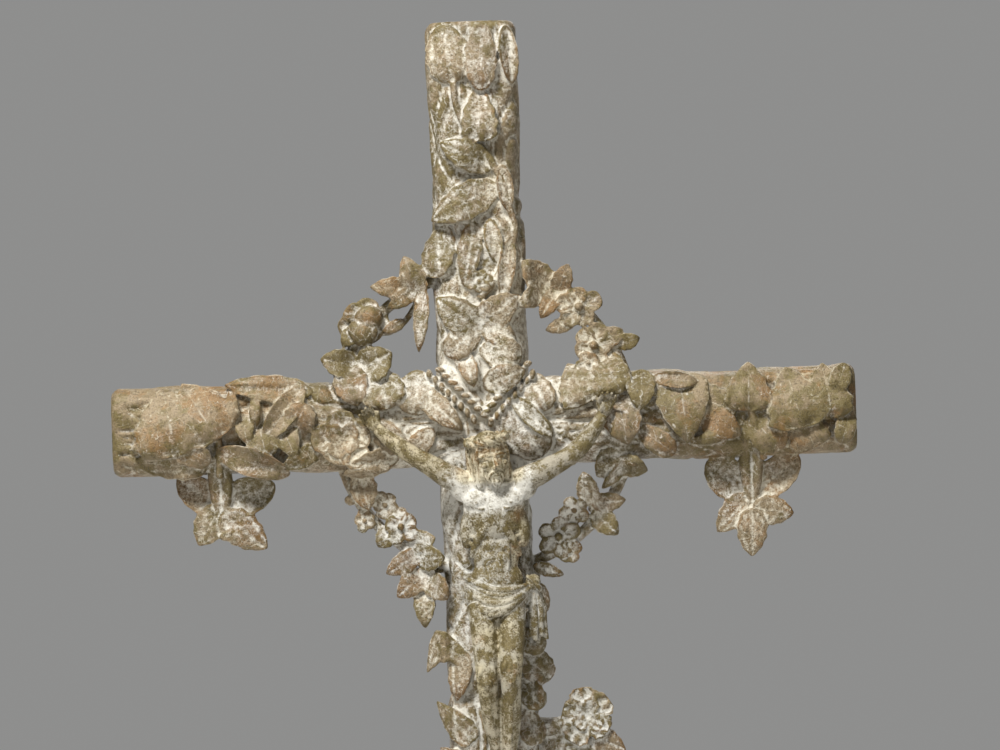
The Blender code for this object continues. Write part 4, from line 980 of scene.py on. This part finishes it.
# The body under the details, rounded as flesh
flesh = []
limbs = new_limbs("limbs")
curve = limbs.data
for centre, radii in (((0.6, -7.4, 2.8), (8.4, 5.4, 10.4)), ((0.8, -19.0, 2.6), (6.5, 3.9, 9.0)),
                      ((0.8, -27.0, 2.8), (7.4, 4.9, 6.5)), ((1.1, -24.0, 4.4), (4.4, 3.0, 5.0))):
    muscle(centre, radii, 0, flesh)
for side in (-1, 1):
    muscle((0.8 + side * 4.2, -4.6, 5.3), (4.6, 3.0, 3.4), side * -16, flesh)
    muscle((0.8 + side * 8.0, -1.0, 3.4), (4.0, 3.6, 4.0), side * -30, flesh)
    muscle((0.8 + side * 7.0, -12.0, 1.8), (2.6, 3.2, 6.0), side * -8, flesh)
limb([(0.6, -2.0, 3.6, 3.6), (0.5, 1.4, 4.4, 2.9), (0.3, 5.0, 5.2, 2.9)], curve)
for line in (LEFT_ARM, RIGHT_ARM, LEFT_LEG, RIGHT_LEG):
    limb(line, curve)
for arm in (LEFT_ARM, RIGHT_ARM):
    for first, rise, wide, long in ((1, 0.6, 2.4, 3.9), (4, 0.3, 2.0, 3.2)):
        (a, b, r, _), (c, d, s, _) = arm[first], arm[first + 1]
        turn = math.degrees(math.atan2(c - a, d - b))
        muscle(((a + c) / 2, (b + d) / 2, (r + s) / 2 + rise), (wide, wide, long), turn, flesh)
for leg in (LEFT_LEG, RIGHT_LEG):
    a, b, r, _ = leg[1]
    muscle((a, b - 2.0, r + 0.9), (3.0, 2.6, 6.0), 0, flesh)
    a, b, r, _ = leg[5]
    muscle((a, b + 1.5, r - 0.3), (2.5, 2.4, 5.4), 0, flesh)
flesh.append(as_mesh(limbs))
flesh_pattern, body = cast(flesh, "body", CORPUS_GRAIN * 1.6)
bpy.data.objects.remove(flesh_pattern)
ease(body, 9)
details = [body]

limbs = new_limbs("sinews")
curve = limbs.data
for side in (-1, 1):
    limb([(0.8 + side * 0.5, -9.4, 7.0, 0.9), (0.8 + side * 3.0, -12.4, 6.6, 1.2),
          (0.8 + side * 5.4, -16.4, 4.8, 1.2), (0.8 + side * 6.4, -20.0, 3.0, 0.9)], curve)
    for rib in range(5):
        drop = -7.6 - 2.2 * rib
        limb([(0.8 + side * (3.2 + 0.5 * rib), drop - 0.8, 6.9 - 0.42 * rib, 0.60),
              (0.8 + side * (6.2 + 0.2 * rib), drop - 0.4, 5.3 - 0.30 * rib, 0.70),
              (0.8 + side * (8.3 - 0.2 * rib), drop + 1.4, 2.4, 0.60)], curve)
    limb([(0.6 + side * 1.0, -0.6, 6.6, 0.55), (0.6 + side * 4.0, 0.4, 6.4, 0.65),
          (0.6 + side * 7.6, 1.2, 5.6, 0.55)], curve)
    limb([(0.6 + side * 0.7, -0.8, 6.4, 0.6), (0.3 + side * 1.8, 2.6, 6.6, 0.8),
          (0.1 + side * 2.6, 5.6, 5.8, 0.8)], curve)
    limb([(0.8 + side * 2.6, -6.9, 7.9, 0.45), (0.8 + side * 5.4, -6.9, 7.3, 0.50),
          (0.8 + side * 7.6, -4.6, 6.0, 0.45)], curve)
    muscle((0.8 + side * 4.7, -5.2, 8.1), (0.42, 0.42, 0.42), 0, details)
    limb([(0.9 + side * 3.0, -14.5, 5.7, 0.5), (0.9 + side * 3.9, -19.0, 5.8, 0.6),
          (0.9 + side * 2.6, -25.5, 6.5, 0.5)], curve)
    for row in range(3):
        muscle((0.9 + side * 1.6, -13.4 - 3.6 * row, 5.3 + 0.40 * row), (1.9, 1.0, 1.9), side * 12, details)
for leg in (LEFT_LEG, RIGHT_LEG):
    a, b, r, radius = leg[3]
    muscle((a, b - 0.4, r + radius - 0.7), (1.5, 1.1, 1.7), 0, details)
    muscle((a - 1.5, b + 2.6, r + 1.5), (1.0, 1.0, 1.9), 12, details)
    muscle((a + 1.5, b + 2.6, r + 1.5), (1.0, 1.0, 1.9), -12, details)
    shin = [(a, b - 2.4, r + radius - 1.6, 0.6)]
    for p, q, s, radius in leg[4:7]:
        shin.append((p, q, s + radius - 0.2, 0.55))
    limb(shin, curve)
    p, q, s, _ = leg[-1]
    muscle((p - 1.6, q + 0.4, s), (0.8, 0.9, 1.0), 0, details)
    muscle((p + 1.6, q + 0.4, s), (0.8, 0.9, 1.0), 0, details)
for arm in (LEFT_ARM, RIGHT_ARM):
    a, b, r, _ = arm[3]
    muscle((a, b - 1.5, r), (1.3, 1.5, 1.5), 0, details)

# The hands: a palm, four bent fingers of two joints and a thumb
for arm, side in ((LEFT_ARM, -1), (RIGHT_ARM, 1)):
    wrist = Vector(arm[-1][:2])
    reach = Vector(HAND_REACH[side])
    ahead = reach.normalized()
    aside = Vector((-ahead.y, ahead.x))
    inward = aside * math.copysign(1.0, -wrist.x * aside.x)
    palm = wrist + reach * 0.38
    turn = math.degrees(math.atan2(ahead.x, ahead.y))
    muscle((palm.x, palm.y, 1.0), (2.1, 1.3, 2.7), turn, details)
    muscle((*(palm + inward * 1.0 - ahead * 0.6), 1.7), (0.95, 0.9, 1.7), turn, details)
    for finger, length in enumerate((0.86, 1.0, 0.96, 0.78)):
        root = wrist + reach * 0.62 + aside * (finger - 1.5) * 1.22
        knuckle = root + ahead * 1.9 * length
        joint = knuckle + ahead * 0.9 * length
        tip = joint + ahead * 0.1
        limb([(*root, 1.0, 0.56), (*knuckle, 2.4, 0.50), (*joint, 3.3, 0.46), (*tip, 3.9, 0.38)], curve)
        muscle((*knuckle, 2.5), (0.56, 0.56, 0.56), 0, details)
    root, tip = palm + inward * 1.4 - ahead * 0.4, palm + inward * 2.8 + ahead * 1.8
    limb([(*root, 1.2, 0.95), (*((root + tip) / 2), 2.1, 0.82), (*tip, 2.6, 0.55)], curve)

# The feet, the right one laid over the left, with the nail's square head
for ankle, sole in ((LEFT_LEG[-1], (SOLES[0] - 0.6, SOLES[1] - 0.4, 0.8)),
                    (RIGHT_LEG[-1], (SOLES[0] + 1.4, SOLES[1], 3.4))):
    instep = ((ankle[0] + sole[0]) / 2, (ankle[1] + sole[1]) / 2 - 0.4, (ankle[2] + sole[2]) / 2 + 0.9)
    limb([(*ankle[:3], 1.8), (*instep, 2.0), (*sole, 1.3)], curve)
    for toe in range(5):
        a = sole[0] + (toe - 2.0) * 0.85
        great_toe = 0 if sole[2] > 2 else 4
        thick = 0.72 if toe == great_toe else 0.50
        limb([(a * 0.8 + instep[0] * 0.2, sole[1] + 1.3, sole[2] + 1.1, thick * 0.9),
              (a, sole[1] - 0.2, sole[2] + 0.9, thick),
              (a, sole[1] - 0.9, sole[2] + 0.3, thick * 0.9)], curve)
muscle((SOLES[0] + 1.2, SOLES[1] + 3.4, 7.1), (0.75, 0.7, 0.75), 45, details)

# The loincloth: folds that sag from the left hip to a knot at the right, where the end hangs in pleats
muscle((0.9, -31.2, 3.2), (8.7, 5.4, 5.6), 0, details)
KNOT = (11.0, -27.6, 3.2)
CLOTH_FOLDS = 9
for index in range(CLOTH_FOLDS):
    share = index / (CLOTH_FOLDS - 1)
    left = (-8.0 + 0.4 * share, -25.6 - 8.4 * share, 2.6)
    sag = 3.0 + 1.4 * math.sin(math.pi * share)
    thick = (0.95, 0.62, 0.80)[index % 3]
    fold = []
    for step in range(9):
        t = step / 8
        bow = math.sin(math.pi * t)
        fold.append((left[0] + (KNOT[0] - 0.6 - left[0]) * t + 0.25 * math.sin(5 * t + index),
                     left[1] + (KNOT[1] - 1.6 * share - left[1]) * t**1.6 - sag * bow,
                     left[2] + 0.8 * t + (5.7 + 0.8 * share + 0.3 * (index % 2)) * bow**0.7,
                     thick * (0.55 + 0.55 * bow)))
    limb(fold, curve)
muscle((-2.4, -34.8, 8.0), (2.8, 1.5, 1.6), 20, details)
muscle((4.4, -35.4, 7.2), (3.4, 1.5, 1.4), -12, details)
limb([(-7.4, -34.4, 4.0, 0.7), (-3.4, -37.0, 8.4, 0.7), (0.2, -36.4, 7.2, 0.6), (3.8, -37.4, 8.2, 0.7),
      (8.8, -34.6, 5.0, 0.7)], curve)
muscle((KNOT[0] - 0.3, KNOT[1], KNOT[2]), (2.1, 2.3, 2.4), 15, details)
for turn in range(3):
    limb([(KNOT[0] - 2.0 + turn * 0.7, KNOT[1] + 2.0 - 0.4 * turn, 4.6, 0.5),
          (KNOT[0] + 0.2 + 0.5 * turn, KNOT[1] + 0.7 - 0.8 * turn, 6.1, 0.7),
          (KNOT[0] + 1.7, KNOT[1] - 1.6 - 0.3 * turn, 4.2, 0.5)], curve)
for pleat in range(5):
    a = 9.6 + 1.0 * pleat
    depth = 3.4 - 0.35 * pleat + 0.7 * (pleat % 2)
    limb([(KNOT[0] - 0.4 + 0.15 * pleat, KNOT[1] - 1.0, 3.4, 0.8),
          (a, -33.0, depth, 0.95), (a + 0.7 - 0.3 * pleat, -38.0, depth - 0.3, 0.95),
          (a + 0.25 * math.sin(pleat * 2.0), -42.4 - 0.9 * (pleat % 3), depth - 0.9, 0.75)], curve)


# The head in a frame of its own: right, up and forward in shares of its height, bowed towards the chest
head_turn = (Euler((0.0, 0.0, HEAD_ROLL)).to_matrix() @ Euler((HEAD_PITCH, 0.0, 0.0)).to_matrix()
             @ Euler((0.0, HEAD_YAW, 0.0)).to_matrix())


def on_head(right, up, forward):
    spot = head_turn @ Vector((right, up, forward)) * HEAD_SIZE
    x, rise, z = on_figure(*HEAD_MIDDLE)
    return (x + spot.x, rise + spot.z, z + spot.y)


def feature(centre, radii, turn=0.0):
    """A rounded form of the head, with radii to the right, up and forward."""
    piece = copy_of(round_form)
    spin = head_turn @ Euler((0.0, 0.0, math.radians(turn))).to_matrix()
    out = points_of(piece)[:, (0, 2, 1)] * np.array(radii) * HEAD_SIZE @ np.array(spin).T
    x, rise, z = on_head(*centre)
    move_points(piece, on_cross(x + out[:, 0], rise + out[:, 2], z + out[:, 1]))
    select_only([piece])
    bpy.ops.object.mode_set(mode="EDIT")
    bpy.ops.mesh.select_all(action="SELECT")
    bpy.ops.mesh.normals_make_consistent(inside=False)
    bpy.ops.object.mode_set(mode="OBJECT")
    details.append(piece)


def strand(points, thick, curve):
    """A lock of hair, a lip or a lid: points on the head and a share of its height at each."""
    bar([on_head(*point) for point in points], [share * HEAD_SIZE for share in thick], curve)


feature((0.0, 0.13, -0.05), (0.32, 0.35, 0.39))
feature((0.0, -0.14, 0.10), (0.245, 0.33, 0.25))
feature((0.0, -0.33, 0.15), (0.17, 0.14, 0.18))
feature((0.0, -0.43, 0.27), (0.075, 0.06, 0.07))
feature((0.0, 0.17, 0.21), (0.21, 0.14, 0.12))
strand([(0.0, 0.05, 0.325), (0.0, -0.05, 0.375), (0.0, -0.165, 0.425)], [0.034, 0.030, 0.044], curve)

# One side's closed eye, hair by the jaw, cheek and nostril, then its brow, lid, lips and moustache
FACE_ROUNDS = [((0.115, -0.005, 0.262), (0.072, 0.042, 0.052)), ((0.25, -0.32, -0.05), (0.12, 0.26, 0.17)),
               ((0.175, -0.125, 0.235), (0.075, 0.06, 0.07)), ((0.048, -0.185, 0.372), (0.034, 0.028, 0.04))]
FACE_LINES = [([(0.235, 0.02, 0.20), (0.14, 0.075, 0.295), (0.03, 0.055, 0.325)], [0.035, 0.036, 0.030]),
              ([(0.19, -0.015, 0.252), (0.115, -0.036, 0.306), (0.045, -0.022, 0.29)], [0.014, 0.02, 0.014]),
              ([(0.0, -0.290, 0.368), (0.045, -0.288, 0.356), (0.085, -0.302, 0.322)], [0.017, 0.017, 0.008]),
              ([(0.0, -0.325, 0.356), (0.045, -0.322, 0.346), (0.075, -0.310, 0.322)], [0.022, 0.020, 0.008]),
              ([(0.012, -0.245, 0.375), (0.075, -0.260, 0.350), (0.130, -0.315, 0.295),
                (0.150, -0.390, 0.250)], [0.022, 0.027, 0.024, 0.012])]
for side in (-1, 1):
    for (right, up, forward), radii in FACE_ROUNDS:
        feature((side * right, up, forward), radii)
    for points, thick in FACE_LINES:
        strand([(side * right, up, forward) for right, up, forward in points], thick, curve)
    for lock in range(5):
        reach = 0.045 + 0.045 * lock
        strand([(side * (reach + 0.02), -0.345 + 0.055 * lock, 0.315 - 0.040 * lock),
                (side * (reach + 0.03), -0.430 + 0.045 * lock, 0.300 - 0.045 * lock),
                (side * (reach * 0.70 + 0.010 * (lock % 2)), -0.520 + 0.030 * lock, 0.270 - 0.030 * lock),
                (side * (reach * 0.45), -0.580 + 0.025 * lock, 0.255 - 0.030 * lock)],
               [0.020, 0.030, 0.026, 0.010], curve)
    for lock in range(7):
        back = 0.055 * lock
        wave = 0.022 * math.sin(lock * 2.1)
        strand([(side * 0.02, 0.455 - 0.02 * lock, 0.13 - back * 1.6),
                (side * (0.17 + 0.02 * lock), 0.36, 0.19 - back * 1.5),
                (side * (0.275 + 0.012 * lock), 0.16 + wave, 0.19 - back * 1.4),
                (side * (0.300 + 0.012 * lock) + wave, -0.04, 0.14 - back * 1.2),
                (side * (0.265 + 0.020 * lock) - wave, -0.22, 0.11 - back),
                (side * (0.300 + 0.022 * lock) + wave, -0.40 - 0.015 * lock, 0.10 - back * 0.8),
                (side * (0.255 + 0.030 * lock), -0.53 - 0.015 * lock, 0.10 - back * 0.7)],
               [0.026, 0.036, 0.038, 0.036, 0.034, 0.032, 0.014], curve)

# The crown: two rods twisted round each other, with thorns
CROWN_WINDS = 7
CROWN_STEPS = 48
THORNS = 18
for rod in range(2):
    twist = []
    for index in range(CROWN_STEPS + 1):
        angle = index * 2 * math.pi / CROWN_STEPS
        wind = angle * CROWN_WINDS + rod * math.pi
        girth = 1.0 + 0.09 * math.cos(wind)
        up = 0.315 + 0.042 * math.sin(wind) + 0.02 * math.cos(angle)
        twist.append((0.365 * girth * math.cos(angle), up, -0.08 + 0.400 * girth * math.sin(angle)))
    strand(twist, [0.046] * len(twist), curve)
for thorn in range(THORNS):
    angle = thorn * 2 * math.pi / THORNS + 0.1
    outward = (0.36 * math.cos(angle), 0.42 * math.sin(angle))
    rise = 0.05 * (-1) ** thorn
    strand([(outward[0], 0.32, outward[1] - 0.08), (outward[0] * 1.12, 0.32 + rise, outward[1] * 1.12 - 0.08),
            (outward[0] * 1.26, 0.32 + 2.0 * rise, outward[1] * 1.26 - 0.08)], [0.022, 0.017, 0.006], curve)
details.append(as_mesh(limbs))

corpus_pattern, corpus = cast(details, "corpus_casting", CORPUS_GRAIN)
bpy.data.objects.remove(corpus_pattern)
bpy.data.objects.remove(round_form)
ease(corpus, 1, 0.35)
pit(corpus, size=0.0040, depth=0.0004)
bpy.ops.object.mode_set(mode="EDIT")
bpy.ops.mesh.select_all(action="SELECT")
bpy.ops.mesh.bisect(plane_co=(0.0, BACK_Y - SEAT_RISE, 0.0), plane_no=(0.0, 1.0, 0.0), use_fill=True,
                    clear_outer=True, threshold=0.00001)
bpy.ops.object.mode_set(mode="OBJECT")
thin_out(corpus, CORPUS_TRIANGLES, CORPUS_HOLLOWS)
move_points(corpus, np.clip(points_of(corpus), np.array(cad_box[0]), np.array(cad_box[1])))
bpy.ops.object.shade_smooth()


def rusty_side(x, height):
    """The right side of the body, from the breast to the hip, where rust has come through."""
    return x.step(0.012, 0.028) * height.step(-0.072, -0.088) * height.step(-0.160, -0.145)


def lime_on_corpus(x, height, _):
    """White on the chest, the cloth and the shins, and worn to brown on the arms, the face and the thighs."""
    up_the_middle = [(0.0, 0.60), (0.28, 0.48), (0.33, 0.0), (0.450, 0.0), (0.480, 0.58), (0.56, 0.58),
                     (0.62, 0.45), (0.68, 0.56), (0.715, 0.96), (0.770, 0.94), (0.795, 0.66), (0.90, 0.62)]
    trunk = x.node("ValToRGB", {"stops": up_the_middle}, {0: (height + 0.40) / 0.45}) * 1.2 - 0.2
    arms = (x - FIGURE_SHIFT).size().step(0.034, 0.052) * height.step(-0.10, -0.07)
    return trunk * (1.0 - arms) + 0.12 * arms - 0.40 * rusty_side(x, height)


def warmth_of_corpus(x, height):
    """The head, the thighs and the right side of the body are worn to warm ochre."""
    head = height.step(-0.066, -0.050) * (x - FIGURE_SHIFT).size().step(0.040, 0.024)
    middle = (x - FIGURE_SHIFT).size().step(0.026, 0.014)
    thighs = height.step(-0.19, -0.20) * height.step(-0.27, -0.25) * middle
    return 0.05 + 0.20 * head + 0.10 * thighs + 0.18 * rusty_side(x, height)


corpus.data.materials.clear()
corpus.data.materials.append(rusted_iron_and_shade("corpus_rust_lime_and_shade", lime_on_corpus, warmth_of_corpus))
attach(corpus, "root")
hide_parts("corpus")


# The studio
# A plain pale floor that the foot stands on, one soft light from the upper left and weak ones from the front
# and from behind, and the photograph's view: straight on, a little turned, with the lower shaft outside it.

FLOOR_RADIUS = 6.0
FLOOR_COLOUR = (0.70, 0.69, 0.67, 1.0)
SKY_COLOUR = (0.80, 0.80, 0.79, 1.0)
SKY_STRENGTH = 0.34
AIM = Vector((0.0, 0.0, 0.95))
CAMERA_PLACE = (0.0165, -4.03, 0.9166)
CAMERA_ROLL = math.radians(2.0)
FRAME_WIDTH = 0.938
SENSOR = 36.0

bpy.ops.object.select_all(action="DESELECT")
bpy.ops.mesh.primitive_circle_add(vertices=96, radius=FLOOR_RADIUS, fill_type="NGON")
floor = bpy.context.object
floor.name = "studio_floor"
paint = bpy.data.materials.new("pale_floor")
paint.use_nodes = True
paint.node_tree.nodes["Principled BSDF"].inputs["Base Color"].default_value = FLOOR_COLOUR
paint.node_tree.nodes["Principled BSDF"].inputs["Roughness"].default_value = 0.9
floor.data.materials.append(paint)

LIGHTS = [("key", (-0.9, -1.6, 3.3), 0.7, 175.0), ("fill", (-0.3, -3.4, 1.3), 1.2, 8.0),
          ("rim", (0.6, 2.4, 2.6), 1.6, 30.0)]
for name, place, size, power in LIGHTS:
    bpy.ops.object.light_add(type="AREA", location=place)
    light = bpy.context.object
    light.name = name
    light.data.energy = power
    light.data.size = size
    light.rotation_euler = (AIM - light.location).to_track_quat("-Z", "Y").to_euler()

world = bpy.data.worlds.new("studio")
bpy.context.scene.world = world
world.use_nodes = True
world.node_tree.nodes["Background"].inputs[0].default_value = SKY_COLOUR
world.node_tree.nodes["Background"].inputs[1].default_value = SKY_STRENGTH

bpy.ops.object.camera_add(location=CAMERA_PLACE, rotation=(math.pi / 2, CAMERA_ROLL, 0.0))
camera = bpy.context.object
camera.data.sensor_width = SENSOR
camera.data.lens = SENSOR * (-CAMERA_PLACE[1] - 0.02) / FRAME_WIDTH
camera.data.dof.use_dof = False
camera.data.clip_end = 60.0
bpy.context.scene.camera = camera
bpy.context.scene.view_settings.view_transform = "Standard"
